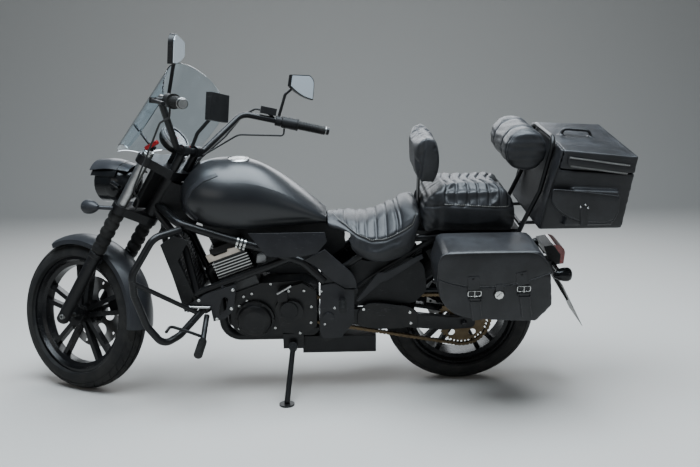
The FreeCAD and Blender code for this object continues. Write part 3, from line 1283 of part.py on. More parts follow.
def radiator():
    """Core with its header tanks, and a shroud on each side."""
    made = body("radiator_body", RADIATOR)
    slats = int(size("radiator_slats"))
    pad(made, "XY_Plane",
        [box_outline("-radiator_depth/2", "-radiator_half+22", "radiator_depth/2", "radiator_half-22")],
        "radiator_height", both=True)
    for sign in (-1, 1):
        pad(made, "XY_Plane", [box_outline(
            "-radiator_depth/2-4", f"{sign}*(radiator_half-11)-11.5", "radiator_depth/2+4",
            f"{sign}*(radiator_half-11)+11.5",
        )], "radiator_height+10", both=True)
    step = f"(radiator_height-12)/{slats}"
    for slat in range(slats):
        low = f"-radiator_height/2+6+{step}*{slat}"
        for sign in (-1, 1):
            pocket(made, "XZ_Plane",
                   [box_outline(f"{sign}*(radiator_depth/2-1)-3", f"{low}+2",
                                f"{sign}*(radiator_depth/2-1)+3",
                                                  f"{low}+{step}-2")], "radiator_half*2-64", both=True)
    shroud = body("radiator_shroud_body", shifted("radiator_x", "-radiator_half-seat_gap-1", "radiator_z"))
    pad(shroud, "XZ_Plane", [[
        ("-66", "158"), ("-10", "196"), ("40", "172"), ("-4", "92"), ("44", "-44"), ("26", "-118"),
        ("4", "-124"),
        ("-30", "30"),
    ]], "8")
    node("radiator", group("radiator_all", [made, both_sides("radiator_shroud_pair", shroud)]), "chassis")


def lower_cowls():
    """A panel low on each side of the engine, with a window, on a standoff from the frame."""
    panel = body("lower_cowl_body", shifted("0", "-cowl_inner", "0"))
    pad(panel, "XZ_Plane", [[
        ("-1084", "434"), ("-1070", "424"), ("-1006", "420"), ("-998", "356"), ("-952", "366"),
        ("-917", "402"), ("-901", "513"), ("-1023", "473", "-1040", "462"),
    ]], "cowl_thick")
    pocket(panel, "XZ_Plane", [[
        ("-975", "382"), ("-948", "402"), ("-938", "440", "-942", "458"), ("-958", "452", "-970", "420"),
    ]], "cowl_thick*3", both=True)
    standoff = rod("cowl_standoff", at("-955", "-frame_half-14", "500"), at("-955", "-cowl_inner-1", "500"),
                   "6")
    node("lower_cowls", both_sides("lower_cowl_pair", fuse("lower_cowl_left", [panel, standoff])), "chassis")


def exhaust():
    """Two headers under the crankcase into the muffler box, and its right hand outlet."""
    port = CYLINDERS.multVec(at("-cylinder_depth/2-fin_reach-seat_gap", "-header_half", "cylinder_height-48"))
    header = tube("header_left", [port, Vector(port.x - 36, port.y, port.z - 13),
                                  at("cylinder_x-104", "-header_half", "420"),
                                  at("cylinder_x-92", "-header_half", "case_floor-header_r-12"),
                                  at("muffler_front-seat_gap", "-header_half", "case_floor-header_r-12")],
                  "header_r", "70")
    headers = both_sides("header_pair", header)
    case = body("muffler_body")
    pad(case, "YZ_Plane", [[
        ("-muffler_half", "muffler_floor+24", "-muffler_half+7", "muffler_floor+7"),
        ("-muffler_half+24", "muffler_floor"),
        ("muffler_half-24", "muffler_floor", "muffler_half-7", "muffler_floor+7"),
        ("muffler_half", "muffler_floor+24"), ("muffler_half", "muffler_top"),
        ("-muffler_half", "muffler_top"),
    ]], "muffler_rear-muffler_front", "muffler_front")
    outlet = tube("exhaust_outlet", [at("muffler_rear-60", "muffler_half-30", "muffler_floor+44"),
                                     at("muffler_rear-10", "muffler_half+52", "muffler_floor+52"),
                                     at("muffler_rear+110", "muffler_half+62", "muffler_floor+66")],
                                     "outlet_r-8", "60")
    node("exhaust", group("exhaust_all", [headers, fuse("muffler_fused", [case, outlet])]), "chassis")


frame()
rear_subframe()
engine()
node("engine_covers", group("engine_covers_all", [
    round_cover("generator_cover", "generator_x", "generator_z", "left", "generator_r", "generator_depth"),
    round_cover("clutch_cover", "clutch_x", "clutch_z", "right", "clutch_r", "clutch_depth"),
    side_engine_covers(),
]), "chassis")
radiator()
lower_cowls()
exhaust()

# Chassis: tank, covers, seats and pads


def tank():
    """Teardrop skinned over sections along its length, with the cap's seat sunk in it."""
    made = body("fuel_tank_body")
    # part of the length, half width, top height, floor height, height of the widest line
    stations = [
        (0.00, 0.40, 0.62, 0.26, 0.42), (0.08, 0.74, 0.86, 0.12, 0.42), (0.24, 0.98, 0.985, 0.03, 0.36),
        (0.46, 1.00, 0.97, 0.00, 0.34), (0.70, 0.84, 0.70, 0.00, 0.30), (0.90, 0.62, 0.34, 0.00, 0.16),
        (1.00, 0.46, 0.12, 0.01, 0.06),
    ]
    span, rise = "(tank_rear-tank_front)", "(tank_top-tank_floor)"
    sections = []
    for part_x, half, top, floor, widest in stations:
        z0, z1, z2 = (f"tank_floor+{rise}*{share}" for share in (floor, widest, top))
        shoulder = f"tank_floor+{rise}*{widest + 0.62 * (top - widest)}"
        edge = f"tank_half*{half}"
        sections.append((f"tank_front+{span}*{part_x}", [
            (f"-{edge}*0.78", z0), (f"{edge}*0.78", z0, f"{edge}", z1),
            (f"{edge}*0.80", shoulder, "0", z2), (f"-{edge}*0.80", shoulder, f"-{edge}", z1),
        ]))
    loft(made, "YZ_Plane", sections)
    seat = f"tank_floor+{rise}*0.985-14"
    pocket(made, "XY_Plane", [("circle", "cap_x", "0", "cap_r+seat_gap")], "60", seat, back=True)
    swept = rod("steering_hollow", FORK.multVec(at("0", "0", "upper_yoke_z-60")),
                FORK.multVec(at("0", "0", "upper_yoke_z+260")), f"sqrt({YOKE_REAR}^2+{YOKE_REAR_HALF}^2)+6")
    node("fuel_tank", cut("fuel_tank_cut", made, [swept]), "chassis")
    cap = body("fuel_cap_body", shifted("cap_x", "0", seat + "+seat_gap"))
    turn(cap, "XZ_Plane", [[
        ("0", "0"), ("cap_r", "0"), ("cap_r", "cap_height+2"), ("cap_r-4", "cap_height+5"),
        ("cap_r-11", "cap_height+3"), ("cap_r-13", "cap_height+5"), ("0", "cap_height+7"),
    ]], "V_Axis")
    node("fuel_cap", cap, "chassis")


SHOCK_Y = "(frame_half+plate_thick/2+cover_wall+5+shock_r+2)"
SHOCK_START = at("pivot_x+80", SHOCK_Y, "pivot_z+112")


def side_covers():
    """Panels between tank and frame, the grey pod cover and the black pivot cover."""
    strip = body("side_cover_body", shifted("0", "-frame_half-frame_tube_r-cover_wall-1.5", "tank_floor")
                 * turned(AXIS_X, -12))
    pad(strip, "XZ_Plane", [[
        ("tank_front+264", "-4"), ("tank_rear-6", "-4"), ("tank_rear+2", "-40"),
        ("tank_rear-36", "-84", "tank_rear-130", "-98"), ("tank_front+330", "-92"),
    ]], "cover_wall")
    face = "-frame_half-plate_thick/2-seat_gap"
    pod = body("pod_cover_body", shifted("pivot_x", face, "pivot_z"))
    pad(pod, "XZ_Plane", [[
        ("-92", "246"), ("-10", "286"), ("92", "190", "108", "160"), ("112", "126"), ("70", "124"),
        ("28", "150"),
        ("-50", "222"),
    ]], "cover_wall+5")
    cover = body("pivot_cover_body", shifted("pivot_x", face, "pivot_z"))
    pad(cover, "XZ_Plane", [[
        ("-30", "138"), ("28", "146"), ("68", "120"), ("104", "118"), ("102", "-24"), ("50", "-92"),
        ("-24", "-94"),
        ("-36", "-60"),
    ]], "cover_wall+2")
    pad(cover, "XZ_Plane", [("circle", "0", "0", "22")], "8", "cover_wall+2")
    shock_hole = rod("shock_pin_hole", SHOCK_START - AXIS_Y * 60, SHOCK_START + AXIS_Y * 9,
                     "shock_pin_r+seat_gap")
    right_cover = cut("pivot_cover_right", mirrored(cover), [shock_hole])
    pieces = [strip, pod, cover, mirrored(strip), mirrored(pod), right_cover]
    node("side_covers", group("side_covers_all", pieces), "chassis")


BRACKET_X = "(pillion_front-8-seat_gap-bracket_thick)"


def rider_seat():
    """Bucket saddle whose sides hang below the rails, over a tunnel for them."""
    made = body("rider_seat_body")
    # part of the length, half width, top at the middle, top at the edge, lower edge, as shares of the height
    stations = [
        (0.00, 0.46, 0.78, 0.72, 0.56), (0.20, 0.72, 0.72, 0.62, 0.26), (0.42, 0.95, 0.70, 0.52, 0.04),
        (0.60, 1.00, 0.80, 0.52, 0.00), (0.80, 0.98, 0.96, 0.74, 0.08), (0.94, 0.92, 1.00, 0.90, 0.24),
        (1.00, 0.80, 0.95, 0.88, 0.48),
    ]
    rise = "(saddle_top-saddle_foot)"
    front = "(tank_rear+seat_gap)"
    rear = f"({BRACKET_X}-seat_gap)"
    sections = []
    for part_x, half, middle, edge_top, low in stations:
        edge = f"saddle_half*{half}"
        z0, z1, z2 = (f"saddle_foot+{rise}*{share}" for share in (low, edge_top, middle))
        bulge = f"saddle_foot+{rise}*{(low + edge_top) / 2}"
        sections.append((f"{front}+({rear}-{front})*{part_x}", [
            (f"-{edge}*0.9", z0), (f"{edge}*0.9", z0, f"{edge}+4", bulge), (f"{edge}*0.93", z1, "0", z2),
            (f"-{edge}*0.93", z1, f"-{edge}-4", bulge),
        ]))
    loft(made, "YZ_Plane", sections)
    pocket(made, "YZ_Plane", [box_outline("-tunnel_half", "saddle_foot-60", "tunnel_half", "tunnel_top")],
           "3000",
           both=True)
    return node("rider_seat", made, "chassis")


def passenger_seat():
    """Rounded cushion with a raised rear edge."""
    made = body("passenger_seat_body")
    pad(made, "XZ_Plane", [[
        ("pillion_front", "pillion_foot"),
        ("pillion_rear", "pillion_foot", "pillion_rear+10", "pillion_foot+60"),
        ("pillion_rear-4", "pillion_top-40", "pillion_rear-18", "pillion_top-10"),
        ("pillion_rear-48", "pillion_top+2"),
        ("pillion_front+80", "pillion_top", "pillion_front+28", "pillion_top-12"),
        ("pillion_front+2", "pillion_top-54", "pillion_front-8", "pillion_foot+60"),
    ]], "pillion_half*2", both=True)
    return node("passenger_seat", made, "chassis")


SLANT = "sqrt(1+(top_lean/(top_height-top_floor))^2)"


def before_bag(height):
    """Where a sissy bar tube lies along the top bag's slanting front, at a height."""
    return f"(top_front+top_lean*({height}-top_floor)/(top_height-top_floor)-sissy_r-seat_gap-1.2)"


def pads():
    """Rider backrest on its post, and the rolled pad ahead of the top bag."""
    rest = body("backrest_body")
    pad(rest, "XZ_Plane", [[
        ("pad_front+6", "pad_foot"),
        ("pad_front+pad_thick-12", "pad_foot-6", "pad_front+pad_thick+6", "pad_foot+pad_height*0.4"),
        ("pad_front+pad_thick-10", "pad_foot+pad_height-24", "pad_front+pad_thick-20",
         "pad_foot+pad_height-6"),
        ("pad_front+pad_thick*0.4", "pad_foot+pad_height", "pad_front+10", "pad_foot+pad_height-12"),
        ("pad_front", "pad_foot+pad_height-40"),
    ]], "pad_half*2", both=True)
    bracket = block("backrest_bracket", BRACKET_X, "-30", "pillion_foot", "bracket_thick", "60",
                    "pad_foot-2-seat_gap-pillion_foot")
    node("rider_backrest", rest, "chassis")
    node("backrest_bracket", group("backrest_bracket_all", [bracket]), "chassis")
    roll = body("roll_pad_body",
                shifted(f"{before_bag('roll_z')}-seat_gap-(sissy_r+roll_r)*{SLANT}", "0", "roll_z"))
    turn(roll, "YZ_Plane", [[
        ("-roll_half", "0"), ("-roll_half", "roll_r-30", "-roll_half+8", "roll_r-9"),
        ("-roll_half+28", "roll_r"),
        ("roll_half-28", "roll_r", "roll_half-8", "roll_r-9"), ("roll_half", "roll_r-30"), ("roll_half", "0"),
    ]], "H_Axis")
    node("roll_pad", roll, "chassis")


tank()
side_covers()
rider_seat()
passenger_seat()
pads()

# Chassis: rear end, luggage, guards and controls


def rear_fender():
    """Shell turned about the rear axle over the tyre's top and back."""
    middle = size("(rear_fender_front+rear_fender_rear)/2")
    made = body("rear_fender_body", REAR_WHEEL * turned(AXIS_Y, middle))
    inner, half = "(rear_tyre_r+rear_fender_gap)", "rear_fender_half"
    low = f"({inner}-rear_fender_skirt)"
    turn(made, "YZ_Plane", [[
        (f"-{half}", low), (f"-{half}+4", low), (f"-{half}+4", f"{inner}-30", "0", inner),
        (f"{half}-4", f"{inner}-30"), (f"{half}-4", low), (half, low),
        (half, f"{inner}+4-30", "0", f"{inner}+4"), (f"-{half}", f"{inner}+4-30"),
    ]], "H_Axis", "rear_fender_rear-rear_fender_front")
    return made


def tail(fender):
    """Lamp housing on the fender's end, its lens, and the plate hanging from a bracket."""
    housing = body("tail_housing_body", shifted("tail_x", "0", "tail_z"))
    pad(housing, "XZ_Plane", [[
        ("-62", "34"), ("-24", "40"), ("8", "-2"), ("8", "-42"), ("-10", "-44"), ("-40", "-14"),
    ]], "tail_half*2", both=True)
    lens = body("tail_lens_body", shifted("tail_x", "0", "tail_z"))
    pad(lens, "XZ_Plane", [[
        ("-23.6", "40", "-2", "40"), ("26", "0"), ("24", "-40"), ("8.3", "-42"), ("8.3", "-1.8"),
    ]], "tail_half*2", both=True)
    node("tail_lamp_lens", lens, "chassis")
    slanted = shifted("plate_top_x", "0", "plate_top_z") * turned(AXIS_Y, -size("plate_slant"))
    plate = body("number_plate_body", slanted)
    pad(plate, "YZ_Plane", [box_outline("-plate_width/2", "-plate_height", "plate_width/2", "0")],
        "plate_thin")
    node("number_plate", plate, "chassis")

    def ahead_of_plate(down, ahead):
        return (f"plate_top_x+({down})*sin(plate_slant)-({ahead})*cos(plate_slant)",
                f"plate_top_z-({down})*cos(plate_slant)-({ahead})*sin(plate_slant)")
    arm = body("plate_arm_body")
    pad(arm, "XZ_Plane", [[
        ("262", "tail_z-56"), ("tail_x-16", "tail_z-40"), ("tail_x+4", "tail_z-42"),
        ahead_of_plate("0", "seat_gap"), ahead_of_plate("plate_height*0.5", "seat_gap"),
        ahead_of_plate("plate_height*0.5", "6"), ahead_of_plate("0", "14"), ("tail_x-24", "tail_z-66"),
        ("268", "tail_z-70"),
    ]], "64", both=True)
    node("rear_fender", fuse("rear_fender_fused", [fender, arm, housing]), "chassis")


def swingarm():
    """Two tapered beams from the pivot to the axle lugs, with a cross tube, and the pivot shaft."""
    beam = body("swingarm_beam", shifted("0", "-arm_half", "0"))
    pad(beam, "XZ_Plane", [[
        ("pivot_x-26", "pivot_z-20", "pivot_x-32", "pivot_z"), ("pivot_x-20", "pivot_z+26"),
        ("pivot_x+150", "pivot_z+arm_height*0.36"), ("-60", "rear_tyre_r+24"),
        ("22", "rear_tyre_r+24", "46", "rear_tyre_r"), ("22", "rear_tyre_r-24"), ("-80", "rear_tyre_r-30"),
        ("pivot_x+190", "pivot_z-arm_height*0.9"), ("pivot_x+30", "pivot_z-arm_height*0.75"),
    ]], "arm_width", both=True)
    pocket(beam, "XZ_Plane", [("circle", "0", "rear_tyre_r", "rear_axle_r+seat_gap"),
                              ("circle", "pivot_x", "pivot_z", "pivot_r+seat_gap")], "200", both=True)
    cross = rod("swingarm_cross", at("pivot_x+104", "-arm_half", "pivot_z-14"),
                at("pivot_x+104", "arm_half", "pivot_z-14"), "arm_height*0.3")
    arms = fuse("swingarm_fused", [beam, mirrored(beam), cross])
    bars = [
        rod("pivot_shaft", at("pivot_x", "-frame_half-plate_thick/2+0.2", "pivot_z"),
            at("pivot_x", "frame_half+plate_thick/2-0.2", "pivot_z"), "pivot_r"),
        rod("rear_axle_shaft", at("0", "-rear_axle_half", "rear_tyre_r"),
            at("0", "rear_axle_half", "rear_tyre_r"),
            "rear_axle_r"),
    ]
    return [arms] + bars


def chain_band():
    """The chain as one fixed loop round the two sprockets, its outside waisted between the pins."""
    rear_centre = Vector(0, 0, size("rear_tyre_r"))
    front_centre = at("case_rear-72", "0", "case_floor+112")
    reach = front_centre - rear_centre
    ahead = Vector(reach).normalize()
    upward = Vector(-ahead.z, 0, ahead.x)
    if upward.z < 0:
        upward = -upward
    small, large = size("front_sprocket_r"), size("sprocket_r+1.5")
    rise = (large - small) / reach.Length
    run = math.sqrt(1 - rise ** 2)

    def ring(extra):
        outline = []
        for centre, radius, side in ((rear_centre, large + extra, 1), (front_centre, small + extra, 1),
                                     (front_centre, small + extra, -1), (rear_centre, large + extra, -1)):
            outline.append(centre + ahead * (radius * rise) + upward * (side * radius * run))
        top = Part.LineSegment(outline[0], outline[1]).toShape()
        nose = Part.Arc(outline[1], front_centre + ahead * (small + extra), outline[2]).toShape()
        low = Part.LineSegment(outline[2], outline[3]).toShape()
        back = Part.Arc(outline[3], rear_centre - ahead * (large + extra), outline[0]).toShape()
        return Part.Wire([top, nose, low, back])

    def waisted():
        """The outer outline as straight links, drawn in at every second corner."""
        full, slim = ring(size("chain_height")), ring(size("chain_height-chain_waist"))
        links = 2 * int(full.Length / size("chain_pitch") / 2)
        corners = []
        for wire, offset in ((full, 0), (slim, 0.5)):
            spots = wire.discretize(Number=2 * links + 1)
            corners.append(spots[int(2 * offset)::2])
        outline = [spot for pair in zip(*corners) for spot in pair]
        return Part.makePolygon(outline + outline[:1])

    width = Vector(0, size("chain_width"), 0)
    made = doc.addObject("Part::Feature", "chain_band")
    made.Shape = Part.Face(waisted()).extrude(width).cut(Part.Face(ring(0)).extrude(width))
    made.Placement = shifted("0", "-chain_half-chain_width/2", "0")
    node("chain", made, "chassis")


def chain_guard():
    """Cover over the chain's upper run and the sprocket's back."""
    made = body("chain_guard_body", shifted("0", "-chain_half-chain_width/4", "0"))
    low, high = "(rear_tyre_r+sprocket_r+chain_height+12)", "(rear_tyre_r+sprocket_r+chain_height+18)"
    pad(made, "XZ_Plane", [[
        ("pivot_x+140", f"{low}+4"), ("-60", low, "54", f"{low}-14"), ("112", f"{low}-72"),
        ("118", f"{low}-66"),
        ("60", f"{high}-8", "0", f"{high}+4"), ("-70", f"{high}"), ("pivot_x+140", f"{high}+4"),
    ]], "chain_width+12", both=True)
    tab = body("chain_guard_tab", shifted("0", "-chain_half-chain_width/2-2", "0"))
    pad(tab, "XZ_Plane", [box_outline("-250", "rear_tyre_r+60", "-215", f"{low}+3")], "6")
    return fuse("chain_guard_fused", [made, tab])


def shock_absorber():
    """Laid-down shock absorber outboard of the swingarm."""
    start = SHOCK_START
    finish = at("-172", SHOCK_Y, "rear_tyre_r+40")
    way = (finish - start).normalize()
    length = start.distanceToPoint(finish)
    made = body("shock_body", Placement(start, Rotation(AXIS_Z, finish - start)))
    coils = int(size("shock_coils"))
    first, pitch = 62, (length - 112) / coils
    outline = [("0", "-12"), ("13", "-12"), ("13", "14"), ("shock_r-6", "18"), ("shock_r-6", "60"),
               ("shock_r-9", str(first))]
    for coil in range(coils):
        low = first + pitch * coil
        outline.append(("shock_r", f"{low + pitch * 0.3}"))
        outline.append(("shock_r", f"{low + pitch * 0.7}"))
        outline.append(("shock_r-9", f"{low + pitch}"))
    outline += [("13", f"{length - 44}"), ("13", f"{length + 12}"), ("0", f"{length + 12}")]
    turn(made, "XZ_Plane", [outline], "V_Axis")
    pins = [
        rod("shock_pin_front", at("pivot_x+80", "frame_half+plate_thick/2+seat_gap", "pivot_z+112"), start,
            "shock_pin_r"),
        rod("shock_pin_rear", at("-172", "arm_half+arm_width/2+seat_gap", "rear_tyre_r+40"), finish,
            "shock_pin_r"),
    ]
    return node("shock_absorber", fuse("shock_fused", [made] + pins), "chassis")


def rear_caliper():
    """Caliper bridging the rear disc, on the swingarm's inner face."""
    caliper = body("rear_caliper_body", REAR_WHEEL * turned(AXIS_Y, -62))
    middle = "(rear_hub_half+seat_gap+disc_thick/2)"
    reach = "(arm_half-arm_width/2-seat_gap)"
    pad(caliper, "XZ_Plane", [box_outline("-34", "rear_disc_r-36", "34", "rear_disc_r+14")],
        f"{reach}-{middle}+20", f"-{reach}")
    pocket(caliper, "XZ_Plane", [box_outline("-60", "rear_disc_r-60", "60", "rear_disc_r+3")], "disc_thick+4",
           f"-{middle}", both=True)
    return caliper


def saddlebag(side):
    """Hollow leather case whose inner wall carries the hollow lid at its top edge."""
    left = side == "left"
    out = "" if left else "-"
    place = shifted("0", "-bag_inner" if left else "bag_inner", "0")
    width = "(bag_outer-bag_inner)"

    def pouch(wall, mouth):
        return [
            (f"bag_front-2+{wall}", mouth),
            (f"bag_front+8+{wall}", "bag_split-80", "bag_front+40", f"bag_floor+52+{wall}"),
            (f"bag_front+122+{wall}*0.4", f"bag_floor+14+{wall}"),
            (f"bag_rear-56-{wall}", f"bag_floor+{wall}"),
            (f"bag_rear-{wall}", f"bag_floor+60+{wall}*0.4"), (f"bag_rear-14-{wall}", mouth),
        ]

    def cap(wall, mouth):
        return [
            (f"bag_front-4+{wall}", mouth), (f"bag_rear-12-{wall}", mouth),
            (f"bag_rear-46-{wall}", f"bag_top-14-{wall}"),
            (f"bag_rear-64-{wall}", f"bag_top-{wall}"), (f"bag_front+34+{wall}", f"bag_top-{wall}"),
            (f"bag_front+16+{wall}", f"bag_top-14-{wall}"),
        ]

    case = body(f"{side}_bag_body", place)
    pad(case, "XZ_Plane", [pouch("0", "bag_split")], width, back=not left)
    pad(case, "XZ_Plane", [cap("0", "bag_split-1")], "bag_wall", back=not left)
    pocket(case, "XZ_Plane", [pouch("bag_wall", "bag_split+5")], f"{width}-bag_wall*2", f"{out}bag_wall",
           back=left)
    node(f"{side}_saddlebag", case, "chassis")
    lid = body(f"{side}_bag_lid_body", place)
    first = "(bag_wall+seat_gap)"
    pad(lid, "XZ_Plane", [cap("0", "bag_split+seat_gap")], f"{width}-{first}+4", f"{out}{first}",
        back=not left)
    pocket(lid, "XZ_Plane", [cap("bag_wall", "bag_split-5")], f"{width}-{first}+4-bag_wall", f"{out}{first}",
           back=left)
    node(f"{side}_bag_lid", lid, "chassis")


def top_bag():
    """Hollow leaning case with its front wall full height, its lid, and a pocket on each side."""
    rise = "(top_height-top_floor)"

    def shape(front, rear, floor, mouth):
        low = f"top_lean*({floor}-top_floor)/{rise}"
        high = f"top_lean*({mouth}-top_floor)/{rise}"
        return [
            (f"top_front+{front}+{low}", floor), (f"top_rear-{rear}+{low}*0.5", floor),
            (f"top_rear-{rear}+{high}*0.5", mouth), (f"top_front+{front}+{high}", mouth),
        ]

    case = body("top_bag_body")
    pad(case, "XZ_Plane", [shape("0", "0", "top_floor", "top_split")], "top_half*2", both=True)
    foot, full = f"top_lean*(top_split-1-top_floor)/{rise}", "top_lean"
    pad(case, "XZ_Plane", [[
        (f"top_front+{foot}", "top_split-1"), (f"top_front+top_wall+{foot}", "top_split-1"),
        (f"top_front+top_wall+{full}", "top_height"), (f"top_front+{full}", "top_height"),
    ]], "top_half*2", both=True)
    pocket(case, "XZ_Plane", [shape("top_wall", "top_wall", "(top_floor+top_wall)", "(top_split+5)")],
           "top_half*2-top_wall*2", both=True)
    pouch = body("top_pouch_body", shifted("0", "-top_half", "0"))
    pad(pouch, "XZ_Plane", [[
        ("top_front+84", "top_floor+26"), ("top_rear-50", "top_floor+26"), ("top_rear-34", "top_floor+176"),
        ("top_front+112", "top_floor+176"),
    ]], "30")
    node("top_bag", fuse("top_bag_fused", [case, pouch, mirrored(pouch)]), "chassis")
    lid = body("top_lid_body")
    first = "(top_wall+seat_gap)"
    outline = shape(first, "0", "(top_split+seat_gap)", "top_height")
    x, z = outline[0]
    outline[:1] = [(f"{x}+lid_relief*top_lean/{rise}", f"{z}+lid_relief"), (f"{x}+lid_relief*5", z)]
    pad(lid, "XZ_Plane", [outline], "top_half*2", both=True)
    pocket(lid, "XZ_Plane", [shape("0", "top_wall", "(top_split-5)", "(top_height-top_wall)")],
           "top_half*2-top_wall*2", both=True)
    handle = tube("top_handle",
                  [at("top_front+120", "0", "top_height-2"), at("top_front+130", "0", "top_height+26"),
                                 at("top_front+230", "0", "top_height+26"),
                                 at("top_front+240", "0", "top_height-2")],
                  "7", "16")
    node("top_bag_lid", fuse("top_lid_fused", [lid, handle]), "chassis")


def sissy_bar():
    """Hoop behind the roll pad, and the rack that carries the top bag."""
    left = [at("64", "-sissy_half", "676"), at("186", "-sissy_half", "686"), at("206", "-sissy_half", "740"),
            at(before_bag("(top_floor+130)"), "-sissy_half", "top_floor+130"),
            at(before_bag("(roll_z+44)"), "-sissy_half", "roll_z+44")]
    right = [Vector(point.x, -point.y, point.z) for point in reversed(left)]
    hoop = tube("sissy_hoop", left + right, "sissy_r", "40")
    lugs = [rod(f"sissy_lug_{name}", at("72", f"{sign}*(rail_half+rail_r+seat_gap)", "677"),
                at("72", f"{sign}*sissy_half", "677"), "8")
            for name, sign in (("left", -1), ("right", 1))]
    lugs += [rod(f"sissy_stay_{name}", at("150", f"{sign}*sissy_half", "678.6"),
                 at("150", f"{sign}*(bag_inner-seat_gap)", "678.6"), "7")
                 for name, sign in (("left", -1), ("right", 1))]
    bar = fuse("sissy_fused", [hoop] + lugs)
    low = "top_floor-rack_r-seat_gap"
    rack = tube("rack_hoop",
                [at("196", "-118", low), at("top_rear-50", "-118", low), at("top_rear-50", "118", low),
                              at("196", "118", low)], "rack_r", "30")
    bars = [rod(f"rack_cross_{number}", at(x, f"-{half}", low), at(x, half, low), "rack_r")
            for number, (x,
                         half) in enumerate((("197.5", "(sissy_half-sissy_r-seat_gap)"),
                                             ("300", "(118-rack_r*0.6)"), ("410", "(118-rack_r*0.6)")))]
    stay = rod("bag_stay", at("-60", "-rail_half-rail_r-seat_gap", "670.5"),
               at("-60", "-bag_inner+seat_gap", "670.5"), "7")
    racks = [bar, fuse("rack_fused", [rack] + bars), both_sides("bag_stay_pair", stay)]
    node("sissy_bar", group("sissy_bar_all", racks), "chassis")


def guards_and_controls():
    """Engine guard hoops, footpegs, shift and brake levers, and the passenger's pegs."""
    guard = tube("guard_left", [
        at("head_x+62", "-frame_half-6", "734"), at("head_x-20", "-guard_half+55", "735"),
        at("head_x-98", "-guard_half", "610"), at("head_x-98", "-guard_half", "530"),
        at("head_x-62", "-guard_half", "400"),
        at("head_x-10", "-guard_half+8", "318"), at("head_x+44", "-guard_half+60", "330"),
        at("head_x+128", "-frame_half-17.5", "404"),
    ], "guard_r", "60")
    strut = rod("guard_strut", at("head_x-92", "-guard_half", "578"),
                at("head_x+112", "-frame_half-28", "392"), "guard_r-5")
    node("engine_guard", both_sides("guard_pair", fuse("guard_left_fused", [guard, strut])), "chassis")
    hanger = tube("peg_hanger", [at("head_x+140", "-frame_half-12", "376"), at("head_x+136", "-200", "340"),
                                 at("peg_x", "-peg_half+peg_length+8", "peg_z")], "11", "40")
    peg = rod("rider_peg_left", at("peg_x", "-peg_half+peg_length-4", "peg_z"),
              at("peg_x", "-peg_half", "peg_z"), "peg_r")
    lever = tube("foot_lever", [at("peg_x", "-234", "peg_z+5"), at("peg_x-50", "-246", "peg_z+34"),
                                at("peg_x-118", "-256", "peg_z+66"), at("peg_x-122", "-312", "peg_z+70")],
                                "6", "24")
    pillion = rod("pillion_peg_left",
                  at("pillion_peg_x", "-frame_half-plate_thick/2-cover_wall-12", "pillion_peg_z"),
                  at("pillion_peg_x", "-frame_half-115", "pillion_peg_z"), "12")
    left = group("foot_controls_left", [fuse("foot_lever_fused", [hanger, lever]), peg, pillion])
    node("foot_controls", both_sides("foot_control_pair", left), "chassis")


def side_stand():
    """Leg from its pivot to a foot that lies flat on the ground."""
    pivot = at("stand_x", "-stand_y", "stand_z")
    foot_ground = at("foot_x", "-foot_y", "foot_thick")
    foot = (STANDING.inverse()).multVec(foot_ground)
    down = (foot - pivot).normalize()
    folded = Vector(0.98, -0.12, -0.15).normalize()
    axis = down.cross(folded).normalize()
    return pivot, foot, axis, down.getAngle(folded)


def stand_pieces():
    pivot, foot, axis, swing = side_stand()
    eye = rod("stand_eye", pivot - axis * 12, pivot + axis * 12, "18")
    leg = rod("stand_leg", pivot + (foot - pivot) * 0.04, foot + (pivot - foot) * 0.01, "stand_leg_r")
    hole = rod("stand_hole", pivot - axis * 30, pivot + axis * 30, "7.3")
    upright = STANDING.inverse()
    sole = rod("stand_foot", upright.multVec(at("foot_x", "-foot_y", "0")), foot, "foot_r")
    node("side_stand", cut("side_stand_cut", fuse("side_stand_fused", [eye, leg, sole]), [hole]), "chassis")
    plate = block("stand_plate", "stand_x-40", "-case_half-seat_gap-8", "case_floor-54", "84", "8", "66")
    inner = pivot - axis * 12.3
    lug = rod("stand_lug", inner - axis * 12, inner, "16")
    bolt = rod("stand_bolt", inner - axis * 4, pivot + axis * 14, "7")
    node("stand_bracket", fuse("stand_bracket_fused", [plate, lug, bolt]), "chassis")


tail(rear_fender())
node("rear_signals", signals("rear", "tail_x-20", "tail_z-38", "tail_x-20", "tail_half+seat_gap"), "chassis")
node("swingarm", group("swingarm_all", swingarm() + [chain_guard(), rear_caliper()]), "chassis")
chain_band()
shock_absorber()
for bag_side in ("left", "right"):
    saddlebag(bag_side)
top_bag()
sissy_bar()
guards_and_controls()
stand_pieces()

# Export


def checked(thing):
    """Stop on an object that failed to build."""
    for state in thing.State:
        if state in ("Invalid", "Error"):
            raise ValueError(f"{thing.Name}: {thing.State}")


def placed():
    """Put each piece in its standing place, with the row's origin under the middle of the whole."""
    for label, made, rides in NODES:
        made.Placement = RIDES[rides] * made.Placement
    doc.recompute()
    whole = FreeCAD.BoundBox()
    for label, made, rides in NODES:
        whole.add(made.Shape.optimalBoundingBox(False, False))
    return Vector((whole.XMin + whole.XMax) / 2, (whole.YMin + whole.YMax) / 2, whole.ZMin)


doc.recompute()
MIDDLE = placed()
for sub_label, sub_part, sub_rides in NODES:
    sub_part.Placement = Placement(-MIDDLE, Rotation()) * sub_part.Placement
doc.recompute()
for thing in doc.Objects:
    checked(thing)
for sub_label, sub_part, sub_rides in NODES:
    if sub_part.Shape.isNull() or not sub_part.Shape.isValid():
        raise ValueError(f"{sub_label} has a bad shape")
os.makedirs("parts", exist_ok=True)
for sub_label, sub_part, sub_rides in NODES:
    sub_part.Shape.exportStep(f"parts/{sub_label}.step")
print(len(NODES), "sub-parts, row origin at", MIDDLE)
